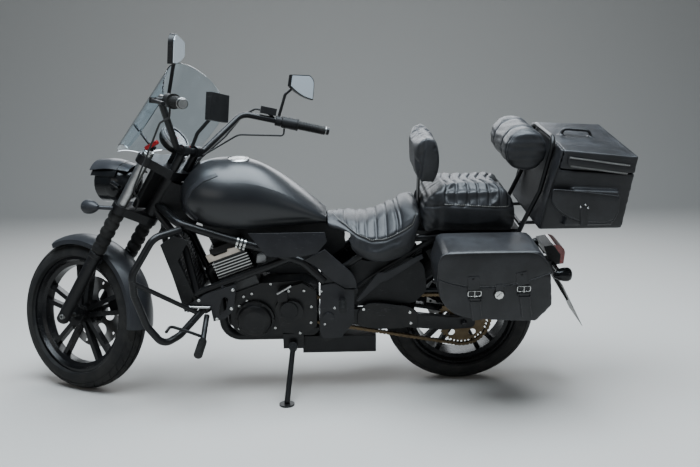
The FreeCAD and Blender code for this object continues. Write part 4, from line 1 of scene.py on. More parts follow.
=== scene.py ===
# A parked cruiser motorcycle: finishes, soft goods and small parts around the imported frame.
# Lengths are metres in the row frame: X to the rear, Y to the rider's right, Z up.
import json
import math
from contextlib import contextmanager

import bmesh
import bpy
from mathutils import Matrix, Vector
from mathutils.bvhtree import BVHTree

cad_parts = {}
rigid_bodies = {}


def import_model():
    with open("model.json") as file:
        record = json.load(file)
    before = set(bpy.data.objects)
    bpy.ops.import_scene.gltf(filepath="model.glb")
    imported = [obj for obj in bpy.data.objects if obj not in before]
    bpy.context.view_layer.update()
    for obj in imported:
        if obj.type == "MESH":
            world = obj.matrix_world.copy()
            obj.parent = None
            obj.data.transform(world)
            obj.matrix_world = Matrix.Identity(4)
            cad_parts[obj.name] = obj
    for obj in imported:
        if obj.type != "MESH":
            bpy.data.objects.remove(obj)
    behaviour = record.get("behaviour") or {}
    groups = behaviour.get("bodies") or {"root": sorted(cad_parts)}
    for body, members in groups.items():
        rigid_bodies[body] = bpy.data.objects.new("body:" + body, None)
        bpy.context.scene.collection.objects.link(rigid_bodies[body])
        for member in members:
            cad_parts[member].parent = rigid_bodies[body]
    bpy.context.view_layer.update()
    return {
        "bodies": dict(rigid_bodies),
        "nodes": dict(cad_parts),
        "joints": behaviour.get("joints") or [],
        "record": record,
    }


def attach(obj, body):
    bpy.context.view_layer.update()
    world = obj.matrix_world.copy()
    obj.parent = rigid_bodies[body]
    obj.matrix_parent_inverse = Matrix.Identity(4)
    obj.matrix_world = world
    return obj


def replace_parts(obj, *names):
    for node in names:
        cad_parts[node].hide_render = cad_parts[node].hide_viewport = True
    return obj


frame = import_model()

NODES = frame["nodes"]
JOINTS = {joint["name"]: joint for joint in frame["joints"]}

# Sizes that part.py works with too
TYRE_R = 0.3125
WHEELBASE = 1.575
RAKE = math.radians(31)


def joint_place(name):
    """A joint's point and the direction of its axis at rest."""
    return Vector(JOINTS[name]["pos_m"]), Vector(JOINTS[name]["axis"]).normalized()


def axes_frame(origin, x_axis, y_axis):
    """The matrix from an upright drawing frame to the row frame."""
    y_axis = y_axis.normalized()
    z_axis = x_axis.cross(y_axis).normalized()
    x_axis = y_axis.cross(z_axis)
    made = Matrix((x_axis, y_axis, z_axis)).transposed().to_4x4()
    made.translation = origin
    return made


def chassis_frame():
    """The upright motorcycle: origin on the ground under the rear axle, X rearward, Y right, Z up."""
    axle, across = joint_place("rear_wheel_spin")
    rearward = joint_place("right_bag_lid_hinge")[1]
    made = axes_frame(axle, rearward, across)
    made.translation = made @ Vector((0, 0, -TYRE_R))
    return made


def steering_frame():
    """The same upright motorcycle, turned with the handlebar."""
    axle, across = joint_place("front_wheel_spin")
    upward = joint_place("steering_turn")[1]
    ahead = across.cross(upward)
    rearward = ahead * math.cos(RAKE) + upward * math.sin(RAKE)
    made = axes_frame(axle, rearward, across)
    made.translation = made @ Vector((WHEELBASE, 0, -TYRE_R))
    return made


CHASSIS = chassis_frame()
STEERING = steering_frame()
FRONT_WHEEL = STEERING @ Matrix.Translation((-WHEELBASE, 0, TYRE_R))
REAR_WHEEL = CHASSIS @ Matrix.Translation((0, 0, TYRE_R))
# The fork's own frame: Z up the steering axis, X rearward, origin between the axle ends
FORK = FRONT_WHEEL @ Matrix.Rotation(RAKE, 4, "Y")
UPRIGHT = CHASSIS.to_3x3()
TO_DRAWING = CHASSIS.inverted()
REARWARD = tuple(UPRIGHT @ Vector((1, 0, 0)))


def spin(degrees, axis):
    """A turn about an axis."""
    return Matrix.Rotation(math.radians(degrees), 4, axis)


def outside(sign):
    """The direction out of the left side for -1, and out of the right side for 1."""
    return UPRIGHT @ Vector((0, sign, 0))


def local(x, y, z):
    """A point of the upright chassis drawing, in the row frame."""
    return CHASSIS @ Vector((x, y, z))


def loose(name, data):
    """A linked object of a mesh, curve, camera or lamp."""
    thing = bpy.data.objects.new(name, data)
    bpy.context.scene.collection.objects.link(thing)
    return thing


def mesh_of(name, points, faces, edges=()):
    """A new mesh of points, faces and edges."""
    mesh = bpy.data.meshes.new(name)
    mesh.from_pydata(points, edges, faces)
    return mesh


# Camera, floor and light

CAMERA_PLACE = (0.1038, -2.9173, 1.1866)
CAMERA_YAW = math.radians(1.371)
CAMERA_PITCH = math.radians(10.113)
CAMERA_ROLL = -0.0118
FOCAL_PIXELS = 762.19
PHOTO_WIDTH = 700
SENSOR_WIDTH = 36.0


def camera():
    """The photograph's camera, from its solved place, direction and focal length."""
    data = bpy.data.cameras.new("camera")
    data.sensor_width = SENSOR_WIDTH
    data.lens = FOCAL_PIXELS / PHOTO_WIDTH * SENSOR_WIDTH
    data.clip_start = 0.05
    eye = loose("camera", data)
    forward = Vector((math.sin(CAMERA_YAW) * math.cos(CAMERA_PITCH),
                      math.cos(CAMERA_YAW) * math.cos(CAMERA_PITCH), -math.sin(CAMERA_PITCH)))
    level = Vector((math.cos(CAMERA_YAW), -math.sin(CAMERA_YAW), 0))
    upright = level.cross(forward)
    right = level * math.cos(CAMERA_ROLL) + upright * math.sin(CAMERA_ROLL)
    up = upright * math.cos(CAMERA_ROLL) - level * math.sin(CAMERA_ROLL)
    turned = Matrix((right, up, -forward)).transposed().to_4x4()
    turned.translation = Vector(CAMERA_PLACE)
    eye.matrix_world = turned
    bpy.context.scene.camera = eye


def studio_light(name, place, target, size, power, color):
    """A soft square lamp that faces its target."""
    data = bpy.data.lights.new(name, "AREA")
    data.shape = "RECTANGLE"
    data.size, data.size_y = size
    data.energy = power
    data.color = color
    lamp = loose(name, data)
    lamp.location = place
    lamp.rotation_euler = (Vector(target) - Vector(place)).to_track_quat("-Z", "Y").to_euler()


def studio():
    """A pale floor that curves up behind, a bright overcast sky and soft lamps."""
    world = bpy.data.worlds.new("overcast")
    bpy.context.scene.world = world
    world.use_nodes = True
    world.node_tree.nodes["Background"].inputs["Color"].default_value = (0.74, 0.85, 0.97, 1)
    world.node_tree.nodes["Background"].inputs["Strength"].default_value = 0.15
    half, depth, rise, bend = 9.0, 5.0, 6.0, 2.0
    turns = [math.radians(step) for step in range(0, 91, 10)]
    curve = [(depth + math.sin(turn) * bend, bend - math.cos(turn) * bend) for turn in turns]
    profile = [(-depth, 0.0)] + curve + [(depth + bend, rise)]
    points = [(side, along, up) for side in (-half, half) for along, up in profile]
    count = len(profile)
    mesh = mesh_of("floor", points, [(i, count + i, count + i + 1, i + 1) for i in range(count - 1)])
    floor = loose("floor", mesh)
    for polygon in mesh.polygons:
        polygon.use_smooth = True
    paint = bpy.data.materials.new("floor")
    paint.use_nodes = True
    shader = paint.node_tree.nodes["Principled BSDF"]
    shader.inputs["Base Color"].default_value = (0.43, 0.41, 0.385, 1)
    shader.inputs["Roughness"].default_value = 0.85
    mesh.materials.append(paint)
    studio_light("sky_panel", (0.2, -0.4, 4.2), (0, 0, 0.5), (4.5, 3.0), 620, (0.80, 0.91, 1.0))
    studio_light("front_panel", (-2.6, -3.4, 1.9), (-0.2, 0, 0.5), (2.4, 1.6), 16, (1.0, 0.97, 0.93))
    studio_light("rear_panel", (3.2, -2.6, 1.6), (0.4, 0, 0.5), (2.0, 1.4), 8, (1.0, 0.98, 0.95))
    studio_light("back_panel", (0.0, 3.6, 2.6), (0, 0, 0.6), (4.0, 1.6), 110, (0.92, 0.96, 1.0))


camera()
studio()


# Shader nodes, and the groups that several finishes share

SOCKETS = {"f": "NodeSocketFloat", "v": "NodeSocketVector", "i": "NodeSocketInt", "g": "NodeSocketGeometry",
           "o": "NodeSocketObject", "m": "NodeSocketMaterial"}


def new_group(name, inputs, outputs, kind="ShaderNodeTree"):
    """An empty node group with the named sockets."""
    tree = bpy.data.node_groups.new(name, kind)
    for labels, way in ((inputs, "INPUT"), (outputs, "OUTPUT")):
        for label, letter in labels:
            tree.interface.new_socket(label, in_out=way, socket_type=SOCKETS[letter])
    return tree, tree.nodes.new("NodeGroupInput").outputs, tree.nodes.new("NodeGroupOutput").inputs


def feed(tree, source, socket):
    """A socket linked to another one, or set to a plain value."""
    if isinstance(source, bpy.types.NodeSocket):
        tree.links.new(source, socket)
    else:
        socket.default_value = source


def add(tree, kind, settings=None, **links):
    """A node whose inputs take values or sockets. A letter and digits name an input by its place."""
    made = tree.nodes.new(kind)
    for key, chosen in (settings or {}).items():
        setattr(made, key, chosen)
    for key, source in links.items():
        feed(tree, source, made.inputs[int(key[1:]) if key[1:].isdigit() else key.replace("_", " ")])
    return made


def math_node(tree, operation, first, second=0.0, clamp=False):
    """One sum on values or sockets."""
    settings = {"operation": operation, "use_clamp": clamp}
    return add(tree, "ShaderNodeMath", settings, n0=first, n1=second).outputs[0]


def mix_color(tree, factor, first, second):
    """A blend of two colours."""
    return add(tree, "ShaderNodeMix", {"data_type": "RGBA"}, n0=factor, n6=first, n7=second).outputs[2]


def noise(tree, vector, scale, detail, settings=None, **more):
    """The value of a noise texture."""
    made = add(tree, "ShaderNodeTexNoise", settings, Vector=vector, Scale=scale, Detail=detail, **more)
    return made.outputs["Fac"]


def ramp(tree, factor, stops):
    """A value shaped by stops of (place, value)."""
    (low, low_out), (high, high_out) = stops
    return add(tree, "ShaderNodeMapRange", {"interpolation_type": "SMOOTHSTEP"}, Value=factor, From_Min=low,
               From_Max=high, To_Min=low_out, To_Max=high_out).outputs["Result"]


def leather_grain_group():
    """Pebbled leather: rounded cells with fine pores, and long soft creases."""
    tree, given, out = new_group("leather_grain", [("Vector", "v"), ("Scale", "f"), ("Crease", "f")],
                                 [("Height", "f"), ("Tone", "f")])
    warp = add(tree, "ShaderNodeTexNoise", {}, Vector=given["Vector"], Scale=60.0, Detail=2.0)
    bent = add(tree, "ShaderNodeVectorMath", {"operation": "MULTIPLY_ADD"}, n0=warp.outputs["Color"],
               n1=(0.004, 0.004, 0.004), n2=given["Vector"])
    cells = add(tree, "ShaderNodeTexVoronoi", {"feature": "SMOOTH_F1"}, Vector=bent.outputs[0],
                Scale=given["Scale"], Smoothness=0.5).outputs["Distance"]
    creases = noise(tree, given["Vector"], 16.0, 3.0, {"noise_type": "RIDGED_MULTIFRACTAL"})
    pores = math_node(tree, "MULTIPLY", noise(tree, given["Vector"], 1400.0, 3.0), 0.18)
    rough = math_node(tree, "ADD", math_node(tree, "SUBTRACT", 1.0, cells), pores)
    folded = math_node(tree, "MULTIPLY", creases, given["Crease"])
    tree.links.new(math_node(tree, "ADD", rough, folded), out["Height"])
    tree.links.new(ramp(tree, cells, ((0.25, 0.0), (0.75, 1.0))), out["Tone"])
    return tree


def mottle_group():
    """Soft uneven tone at two scales, from 0 to 1."""
    tree, given, out = new_group("mottle", [("Vector", "v"), ("Scale", "f")], [("Tone", "f"), ("Fine", "f")])
    wide = noise(tree, given["Vector"], given["Scale"], 5.0, Roughness=0.6)
    tree.links.new(ramp(tree, wide, ((0.35, 0.0), (0.68, 1.0))), out["Tone"])
    tight = math_node(tree, "MULTIPLY", given["Scale"], 14.0)
    tree.links.new(noise(tree, given["Vector"], tight, 4.0), out["Fine"])
    return tree


def settled_dust_group():
    """Dust on what faces up, broken into patches and specks."""
    tree, given, out = new_group("settled_dust", [("Vector", "v"), ("Amount", "f")], [("Mask", "f")])
    normal = tree.nodes.new("ShaderNodeNewGeometry").outputs["Normal"]
    facing = add(tree, "ShaderNodeSeparateXYZ", {}, n0=normal)
    upward = ramp(tree, facing.outputs["Z"], ((0.05, 0.25), (0.95, 1.0)))
    patches = ramp(tree, noise(tree, given["Vector"], 9.0, 8.0, Roughness=0.65), ((0.40, 0.0), (0.75, 1.0)))
    specks = ramp(tree, noise(tree, given["Vector"], 420.0, 2.0), ((0.58, 0.15), (0.72, 1.0)))
    spread = math_node(tree, "MULTIPLY", upward, math_node(tree, "MULTIPLY", patches, specks))
    tree.links.new(math_node(tree, "MULTIPLY", spread, given["Amount"], True), out["Mask"])
    return tree


def scuffs_group():
    """Thin scratches and rubbed places, from 0 to 1."""
    tree, given, out = new_group("scuffs", [("Vector", "v"), ("Amount", "f")], [("Mask", "f")])
    stretched = add(tree, "ShaderNodeMapping", {}, Vector=given["Vector"], Scale=(14.0, 14.0, 190.0),
                    Rotation=(0.5, 0.9, 0.2))
    thin = ramp(tree, noise(tree, stretched.outputs[0], 3.0, 6.0), ((0.63, 0.0), (0.72, 1.0)))
    area = ramp(tree, noise(tree, given["Vector"], 7.0, 3.0), ((0.45, 0.0), (0.65, 1.0)))
    both = math_node(tree, "MULTIPLY", thin, area)
    tree.links.new(math_node(tree, "MULTIPLY", both, given["Amount"], True), out["Mask"])
    return tree


def cast_skin_group():
    """The fine pits of a cast or crackle-painted surface."""
    tree, given, out = new_group("cast_skin", [("Vector", "v"), ("Scale", "f")], [("Height", "f")])
    pits = add(tree, "ShaderNodeTexVoronoi", {}, Vector=given["Vector"], Scale=given["Scale"])
    grit = noise(tree, given["Vector"], given["Scale"], 6.0)
    tree.links.new(math_node(tree, "ADD", pits.outputs["Distance"], grit), out["Height"])
    return tree


LEATHER_GRAIN = leather_grain_group()
MOTTLE = mottle_group()
DUST = settled_dust_group()
SCUFFS = scuffs_group()
CAST_SKIN = cast_skin_group()
DUST_COLOR = (0.24, 0.22, 0.19, 1)
LEATHER_DUST = (0.20, 0.22, 0.25, 1)
SCUFF_COLOR = (0.30, 0.30, 0.30, 1)
CREASE_COLOR = (0.004, 0.004, 0.004, 1)


def placed_group(tree, group, **links):
    """The outputs of a shared group inside a material."""
    return add(tree, "ShaderNodeGroup", {"node_tree": group}, **links).outputs


class Finish:
    """A Principled material in steps: colour, wear, roughness and relief."""

    def __init__(self, name, color, rough, metal=0.0, **shader):
        """A plain material. The rest names inputs of its shader."""
        self.material = bpy.data.materials.new(name)
        self.material.use_nodes = True
        self.tree = self.material.node_tree
        self.shader = self.tree.nodes["Principled BSDF"]
        self.vector = self.tree.nodes.new("ShaderNodeTexCoord").outputs["Object"]
        self.color = (*color, 1)
        self.rough = rough
        self.metal = metal
        self.relief = None
        for label, number in shader.items():
            self.shader.inputs[label.replace("_", " ")].default_value = number

    def softened(self, radius=0.0022):
        """Hard edges shaded as if they were slightly rounded."""
        self.relief = add(self.tree, "ShaderNodeBevel", {"samples": 4}, Radius=radius).outputs[0]
        return self

    def mottled(self, scale, other, spread=0.08):
        """Uneven tone towards another colour, with roughness that varies with it."""
        tone = placed_group(self.tree, MOTTLE, Vector=self.vector, Scale=scale)
        self.color = mix_color(self.tree, tone["Tone"], self.color, (*other, 1))
        moved = math_node(self.tree, "MULTIPLY", tone["Fine"], spread)
        self.rough = math_node(self.tree, "ADD", moved, self.rough - spread / 2, True)
        return self

    def dusty(self, amount, color=DUST_COLOR):
        """Dust that dulls and lightens what faces up."""
        mask = placed_group(self.tree, DUST, Vector=self.vector, Amount=amount)["Mask"]
        self.color = mix_color(self.tree, mask, self.color, color)
        dulled = math_node(self.tree, "MULTIPLY", mask, 0.5)
        self.rough = math_node(self.tree, "ADD", self.rough, dulled, True)
        return self

    def scuffed(self, amount, color=SCUFF_COLOR):
        """Rubbed lines."""
        mask = placed_group(self.tree, SCUFFS, Vector=self.vector, Amount=amount)["Mask"]
        self.color = mix_color(self.tree, mask, self.color, color)
        return self

    def masked(self, mask, color, rough=None, metal=None):
        """Another colour, roughness and metal where a mask is 1."""
        self.color = mix_color(self.tree, mask, self.color, (*color, 1))
        for label, wanted in (("rough", rough), ("metal", metal)):
            if wanted is not None:
                mixed = add(self.tree, "ShaderNodeMix", {}, n0=mask, n2=getattr(self, label), n3=wanted)
                setattr(self, label, mixed.outputs[0])
        return self

    def leathery(self, scale, crease):
        """Leather grain in relief and in tone."""
        grain = placed_group(self.tree, LEATHER_GRAIN, Vector=self.vector, Scale=scale, Crease=crease)
        darker = math_node(self.tree, "MULTIPLY", grain["Tone"], 0.25)
        self.color = mix_color(self.tree, darker, self.color, CREASE_COLOR)
        return self.raised(grain["Height"], 0.28, 0.0012)

    def cast(self, scale=900.0, strength=0.25, distance=0.0004):
        """The pitted skin of a casting."""
        height = placed_group(self.tree, CAST_SKIN, Vector=self.vector, Scale=scale)["Height"]
        return self.raised(height, strength, distance)

    def raised(self, height, strength, distance):
        """Relief on top of any relief there is."""
        made = add(self.tree, "ShaderNodeBump", {}, Height=height, Strength=strength, Distance=distance)
        if self.relief is not None:
            self.tree.links.new(self.relief, made.inputs["Normal"])
        self.relief = made.outputs["Normal"]
        return self

    def done(self):
        """The finished material."""
        feed(self.tree, self.color, self.shader.inputs["Base Color"])
        feed(self.tree, self.rough, self.shader.inputs["Roughness"])
        feed(self.tree, self.metal, self.shader.inputs["Metallic"])
        if self.relief is not None:
            self.tree.links.new(self.relief, self.shader.inputs["Normal"])
        return self.material


# Finishes

FIN_REACH = 0.1184
BARE_METAL = (0.36, 0.36, 0.35)


def rubber_finish(name, color, rough=0.72):
    """Weathered rubber with road dust."""
    made = Finish(name, color, rough, Specular_IOR_Level=0.25).mottled(18, (0.016, 0.0155, 0.0145))
    return made.dusty(0.35).cast(1500, 0.12, 0.0003).done()


def black_paint(name, color, rough, other, dust, skin):
    """Satin black paint over metal or plastic, with a cast skin of (scale, strength) if it has one."""
    made = Finish(name, color, rough, Specular_IOR_Level=0.24).softened().mottled(11, other, 0.06)
    made.scuffed(0.25).dusty(dust)
    return (made.cast(*skin) if skin else made).done()


def head_finish():
    """Black castings, bare and bright along the fins' outer edges."""
    made = Finish("head_castings", (0.005, 0.005, 0.0055), 0.48)
    made.mottled(30, (0.014, 0.014, 0.014)).cast(700)
    across = outside(1)
    side = add(made.tree, "ShaderNodeVectorMath", {"operation": "DOT_PRODUCT"}, n0=made.vector,
               n1=tuple(across))
    reach = math_node(made.tree, "SUBTRACT", side.outputs["Value"], CHASSIS.translation.dot(across))
    edge = math_node(made.tree, "GREATER_THAN", math_node(made.tree, "ABSOLUTE", reach), FIN_REACH)
    return made.masked(edge, BARE_METAL, 0.3, 1.0).dusty(0.2).done()


def tank_finish():
    """Matt black paint with a trace of metal flake."""
    made = Finish("tank_paint", (0.0085, 0.009, 0.0105), 0.30, Specular_IOR_Level=0.4, Coat_Weight=0.12,
                  Coat_Roughness=0.4)
    flake = add(made.tree, "ShaderNodeTexVoronoi", {}, Vector=made.vector, Scale=5200.0)
    sparkle = ramp(made.tree, flake.outputs["Distance"], ((0.0, 1.0), (0.16, 0.0)))
    made.masked(math_node(made.tree, "MULTIPLY", sparkle, 0.35), (0.10, 0.105, 0.115))
    return made.mottled(6, (0.012, 0.013, 0.0145), 0.05).dusty(0.16).done()


def screen_finish():
    """Clear screen with a pale blue cast and faint scratches."""
    made = Finish("clear_screen", (0.80, 0.88, 0.93), 0.04, Transmission_Weight=1.0, IOR=1.2)
    finished = made.scuffed(0.5, (0.9, 0.9, 0.9, 1)).done()
    finished.use_screen_refraction = True
    return finished


def lens_finish(name, color):
    """Moulded lamp glass with fine ribs."""
    made = Finish(name, color, 0.08, Coat_Weight=0.6, Coat_Roughness=0.05)
    waves = add(made.tree, "ShaderNodeTexWave", {"bands_direction": "Z"}, Vector=made.vector, Scale=260.0)
    return made.raised(waves.outputs["Fac"], 0.35, 0.0008).done()


def steel_finish(name, color, rough, brushed=None):
    """Bare or plated metal, with turning marks where it is machined."""
    made = Finish(name, color, rough, 1.0).softened(0.0015)
    made.mottled(40, tuple(tone * 0.75 for tone in color), 0.12)
    if brushed:
        stretched = add(made.tree, "ShaderNodeMapping", {}, Vector=made.vector, Scale=brushed)
        made.raised(noise(made.tree, stretched.outputs[0], 60.0, 4.0), 0.15, 0.0003)
    return made.scuffed(0.3).dusty(0.12).done()


def leather_finish(name, color, scale, rough, crease, dust):
    """Black grained leather or vinyl."""
    made = Finish(name, color, rough, Specular_IOR_Level=0.36)
    made.mottled(14, tuple(tone * 1.9 for tone in color), 0.14)
    return made.leathery(scale, crease).dusty(dust, LEATHER_DUST).done()


PAINTS = {
    "tyre": rubber_finish("tyre_rubber", (0.0075, 0.0075, 0.008)),
    "rubber": rubber_finish("soft_rubber", (0.006, 0.006, 0.006), 0.6),
    "head": head_finish(),
    "tank": tank_finish(),
    "screen": screen_finish(),
    "mirror": Finish("mirror_face", (0.66, 0.71, 0.75), 0.05, 0.55).done(),
    "tail": lens_finish("tail_lamp_red", (0.20, 0.008, 0.005)),
    "steel": steel_finish("satin_steel", (0.46, 0.46, 0.45), 0.34, (1.0, 1.0, 30.0)),
    "disc": steel_finish("disc_steel", (0.42, 0.41, 0.40), 0.30),
    "bright": steel_finish("bright_zinc", (0.58, 0.58, 0.56), 0.26),
    "chain": steel_finish("chain_bronze", (0.115, 0.085, 0.052), 0.40),
    "champagne": steel_finish("champagne_strip", (0.42, 0.37, 0.32), 0.30, (1.0, 20.0, 1.0)),
    "seat": leather_finish("seat_leather", (0.0115, 0.012, 0.0135), 620.0, 0.40, 0.25, 0.24),
    "bag": leather_finish("bag_leather", (0.0095, 0.0095, 0.0105), 430.0, 0.38, 0.35, 0.42),
    "plate": Finish("blank_plate", (0.3, 0.3, 0.29), 0.5).mottled(16, (0.2, 0.19, 0.18)).dusty(0.5).done(),
    "dial": Finish("dial_face", (0.018, 0.02, 0.024), 0.12, Coat_Weight=0.8, Coat_Roughness=0.04).mottled(
        60, (0.03, 0.034, 0.04)).done(),
}

# Black paints: colour, roughness, mottled colour, dust, and the cast skin's scale and strength
for paint, *recipe in (
        ("wheel", "wheel_black", (0.004, 0.004, 0.0045), 0.26, (0.008, 0.008, 0.0085), 0.30, (500, 0.10)),
        ("frame", "frame_black", (0.0055, 0.0055, 0.006), 0.30, (0.009, 0.009, 0.0095), 0.18, None),
        ("satin", "satin_black", (0.0045, 0.0045, 0.005), 0.40, (0.007, 0.007, 0.0075), 0.18, None),
        ("plastic", "moulded_plastic", (0.005, 0.005, 0.0055), 0.5, (0.01, 0.01, 0.0105), 0.18, (1600, 0.18)),
        ("gloss", "gloss_plastic", (0.005, 0.0055, 0.006), 0.16, (0.008, 0.008, 0.0085), 0.12, None),
        ("fender", "fender_grey", (0.020, 0.021, 0.024), 0.36, (0.025, 0.026, 0.029), 0.2, None),
        ("cover", "side_cover_grey", (0.011, 0.011, 0.0125), 0.36, (0.016, 0.016, 0.018), 0.2, None),
        ("engine", "engine_black", (0.004, 0.004, 0.0045), 0.38, (0.010, 0.0095, 0.009), 0.3, (600, 0.3))):
    PAINTS[paint] = black_paint(*recipe)

# Plain finishes: colour, roughness, metal, and the scale and colour of the mottling
for paint, name, color, rough, metal, scale, other in (
        ("thread", "pale_thread", (0.30, 0.29, 0.27), 0.7, 0.0, 90, (0.16, 0.155, 0.145)),
        ("dark_thread", "dark_thread", (0.035, 0.035, 0.036), 0.6, 0.0, 90, (0.07, 0.07, 0.07)),
        ("red", "red_anodised", (0.42, 0.012, 0.016), 0.3, 0.6, 50, (0.30, 0.01, 0.014)),
        ("silver_plastic", "silver_plastic", (0.22, 0.22, 0.22), 0.30, 0.3, 30, (0.17, 0.17, 0.17))):
    PAINTS[paint] = Finish(name, color, rough, metal).mottled(scale, other).done()

WORN_BY = {
    "tyre": ["front_tyre", "rear_tyre"],
    "wheel": ["front_rim", "rear_rim"],
    "disc": ["front_disc", "rear_disc"],
    "chain": ["rear_sprocket", "chain"],
    "rubber": ["fork_gaiters", "grips"],
    "steel": ["fork_tubes", "front_axle", "fuel_cap"],
    "satin": ["fork_yokes", "fork_sliders", "front_caliper", "exhaust", "screen_mounts", "mirrors"],
    "fender": ["front_fender", "front_signals"],
    "frame": ["frame", "rear_subframe", "engine_guard", "handlebar", "sissy_bar", "backrest_bracket",
              "side_stand", "stand_bracket", "swingarm", "foot_controls", "shock_absorber"],
    "plastic": ["hand_controls", "instruments", "radiator", "rear_fender"],
    "gloss": ["headlamp", "rear_signals"],
    "cover": ["side_covers"],
    "engine": ["engine_block", "engine_covers"],
    "head": ["cylinders"],
    "tank": ["fuel_tank"],
    "screen": ["windscreen"],
    "mirror": ["mirror_glass"],
    "tail": ["tail_lamp_lens"],
    "plate": ["number_plate"],
    "seat": ["rider_seat", "passenger_seat", "rider_backrest", "roll_pad"],
    "bag": ["left_saddlebag", "right_saddlebag", "top_bag", "left_bag_lid", "right_bag_lid", "top_bag_lid"],
}


def dress_frame():
    """Each CAD node's own finish."""
    for paint, names in WORN_BY.items():
        for name in names:
            slots = NODES[name].data.materials
            slots.clear()
            slots.append(PAINTS[paint])


dress_frame()

# Making meshes


def dressed(name, mesh, paint, body, smooth_angle=35.0):
    """The piece of a finished mesh, smooth but for its sharp edges."""
    mesh.materials.clear()
    mesh.materials.append(PAINTS[paint])
    mesh.validate()
    for polygon in mesh.polygons:
        polygon.use_smooth = True
        polygon.material_index = 0
    mesh.set_sharp_from_angle(angle=math.radians(smooth_angle))
    made = loose(name, mesh)
    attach(made, body)
    return made


def applied(thing):
    """The thing's mesh with its modifiers applied. The thing itself is removed."""
    bpy.context.view_layer.update()
    mesh = bpy.data.meshes.new_from_object(thing.evaluated_get(bpy.context.evaluated_depsgraph_get()))
    bpy.data.objects.remove(thing)
    return mesh


@contextmanager
def edited(mesh):
    """A mesh opened for editing, and written back afterwards."""
    shell = bmesh.new()
    shell.from_mesh(mesh)
    yield shell
    shell.to_mesh(mesh)
    shell.free()


def outward(mesh):
    """Faces turned to point out of a closed mesh."""
    with edited(mesh) as shell:
        bmesh.ops.remove_doubles(shell, verts=shell.verts, dist=1e-6)
        bmesh.ops.recalc_face_normals(shell, faces=shell.faces)
    return mesh


def turned_mesh(name, profile, steps=32, place=Matrix.Identity(4)):
    """The mesh of a profile of (radius, height) turned about Z. It closes where a radius is 0."""
    points, rings, faces = [], [], []
    for radius, height in profile:
        count = 1 if radius == 0 else steps
        rings.append((len(points), count))
        angles = [math.tau * step / steps for step in range(count)]
        points += [place @ Vector((radius * math.cos(angle), radius * math.sin(angle), height))
                   for angle in angles]
    for (low, low_count), (high, high_count) in zip(rings, rings[1:]):
        for step in range(steps):
            after = (step + 1) % steps
            corners = [low + step % low_count, low + after % low_count,
                       high + after % high_count, high + step % high_count]
            unique = list(dict.fromkeys(corners))
            if len(unique) > 2:
                faces.append(unique)
    return outward(mesh_of(name, points, faces))


def joined(name, meshes):
    """Several meshes as one."""
    shell = bmesh.new()
    for mesh in meshes:
        shell.from_mesh(mesh)
    made = bpy.data.meshes.new(name)
    shell.to_mesh(made)
    shell.free()
    return made


def slab(name, outline, thickness, place, bevel=0.0):
    """A plate of an outline in X and Y, its thickness along Z, with rounded edges."""
    shell = bmesh.new()
    ring = [shell.verts.new((x, y, 0)) for x, y in outline]
    face = shell.faces.new(ring)
    top = bmesh.ops.extrude_face_region(shell, geom=[face])
    bmesh.ops.translate(shell, vec=(0, 0, thickness),
                        verts=[item for item in top["geom"] if isinstance(item, bmesh.types.BMVert)])
    bmesh.ops.recalc_face_normals(shell, faces=shell.faces)
    if bevel:
        bmesh.ops.bevel(shell, geom=shell.edges, offset=bevel, segments=2, affect="EDGES",
                        clamp_overlap=True)
    mesh = bpy.data.meshes.new(name)
    shell.to_mesh(mesh)
    shell.free()
    mesh.transform(place)
    return mesh


def rounded_outline(corners, radius, steps=5):
    """A closed outline with its corners rounded."""
    made = []
    count = len(corners)
    for index, corner in enumerate(corners):
        here = Vector(corner)
        before = Vector(corners[index - 1]) - here
        after = Vector(corners[(index + 1) % count]) - here
        reach = min(radius, before.length * 0.48, after.length * 0.48)
        first, last = here + before.normalized() * reach, here + after.normalized() * reach
        for step in range(steps + 1):
            share = step / steps
            made.append(first * (1 - share) ** 2 + here * 2 * share * (1 - share) + last * share ** 2)
    return [tuple(point) for point in made]


def grid_faces(count, rows):
    """The squares of a grid of points, and the walls from its rim to an equal grid that follows it."""
    squares = [[corner, corner + 1, corner + 1 + count, corner + count]
               for row in range(rows) for corner in range(row * count, row * count + count - 1)]
    rim = list(range(count)) + [count * row + count - 1 for row in range(1, rows + 1)]
    rim += list(range(count * rows + count - 2, count * rows - 1, -1))
    rim += [count * row for row in range(rows - 1, 0, -1)]
    shift = count * (rows + 1)
    return squares, [[a, b, b + shift, a + shift] for a, b in zip(rim, rim[1:] + rim[:1])]


def closed_grid(name, points, count, rows):
    """A closed shell of two equal grids of points, one after the other."""
    squares, walls = grid_faces(count, rows)
    shift = count * (rows + 1)
    faces = [face for square in squares for face in (square[::-1], [index + shift for index in square])]
    return outward(mesh_of(name, points, faces + walls))


def closed_bar(name, points, ring):
    """A closed bar through equal rings of points, one after the other."""
    faces = [[low + step, low + (step + 1) % ring, low + ring + (step + 1) % ring, low + ring + step]
             for low in range(0, len(points) - ring, ring) for step in range(ring)]
    faces += [list(range(ring)), [len(points) - 1 - step for step in range(ring)]]
    return outward(mesh_of(name, points, faces))


def swept(name, points, radius, cyclic=False):
    """A round tube along a smooth line near the points."""
    data = bpy.data.curves.new(name, "CURVE")
    data.dimensions = "3D"
    data.bevel_depth = radius
    data.bevel_resolution = 2
    data.use_fill_caps = not cyclic
    data.resolution_u = 8
    line = data.splines.new("NURBS")
    line.points.add(len(points) - 1)
    for knot, point in zip(line.points, points):
        knot.co = (*point, 1)
    line.order_u = 3
    line.use_endpoint_u = not cyclic
    line.use_cyclic_u = cyclic
    return applied(loose(name, data))


# Geometry Nodes for what repeats

def carried(tree, name):
    """A vector that each point carries."""
    return add(tree, "GeometryNodeInputNamedAttribute", {"data_type": "FLOAT_VECTOR"}, Name=name).outputs[0]


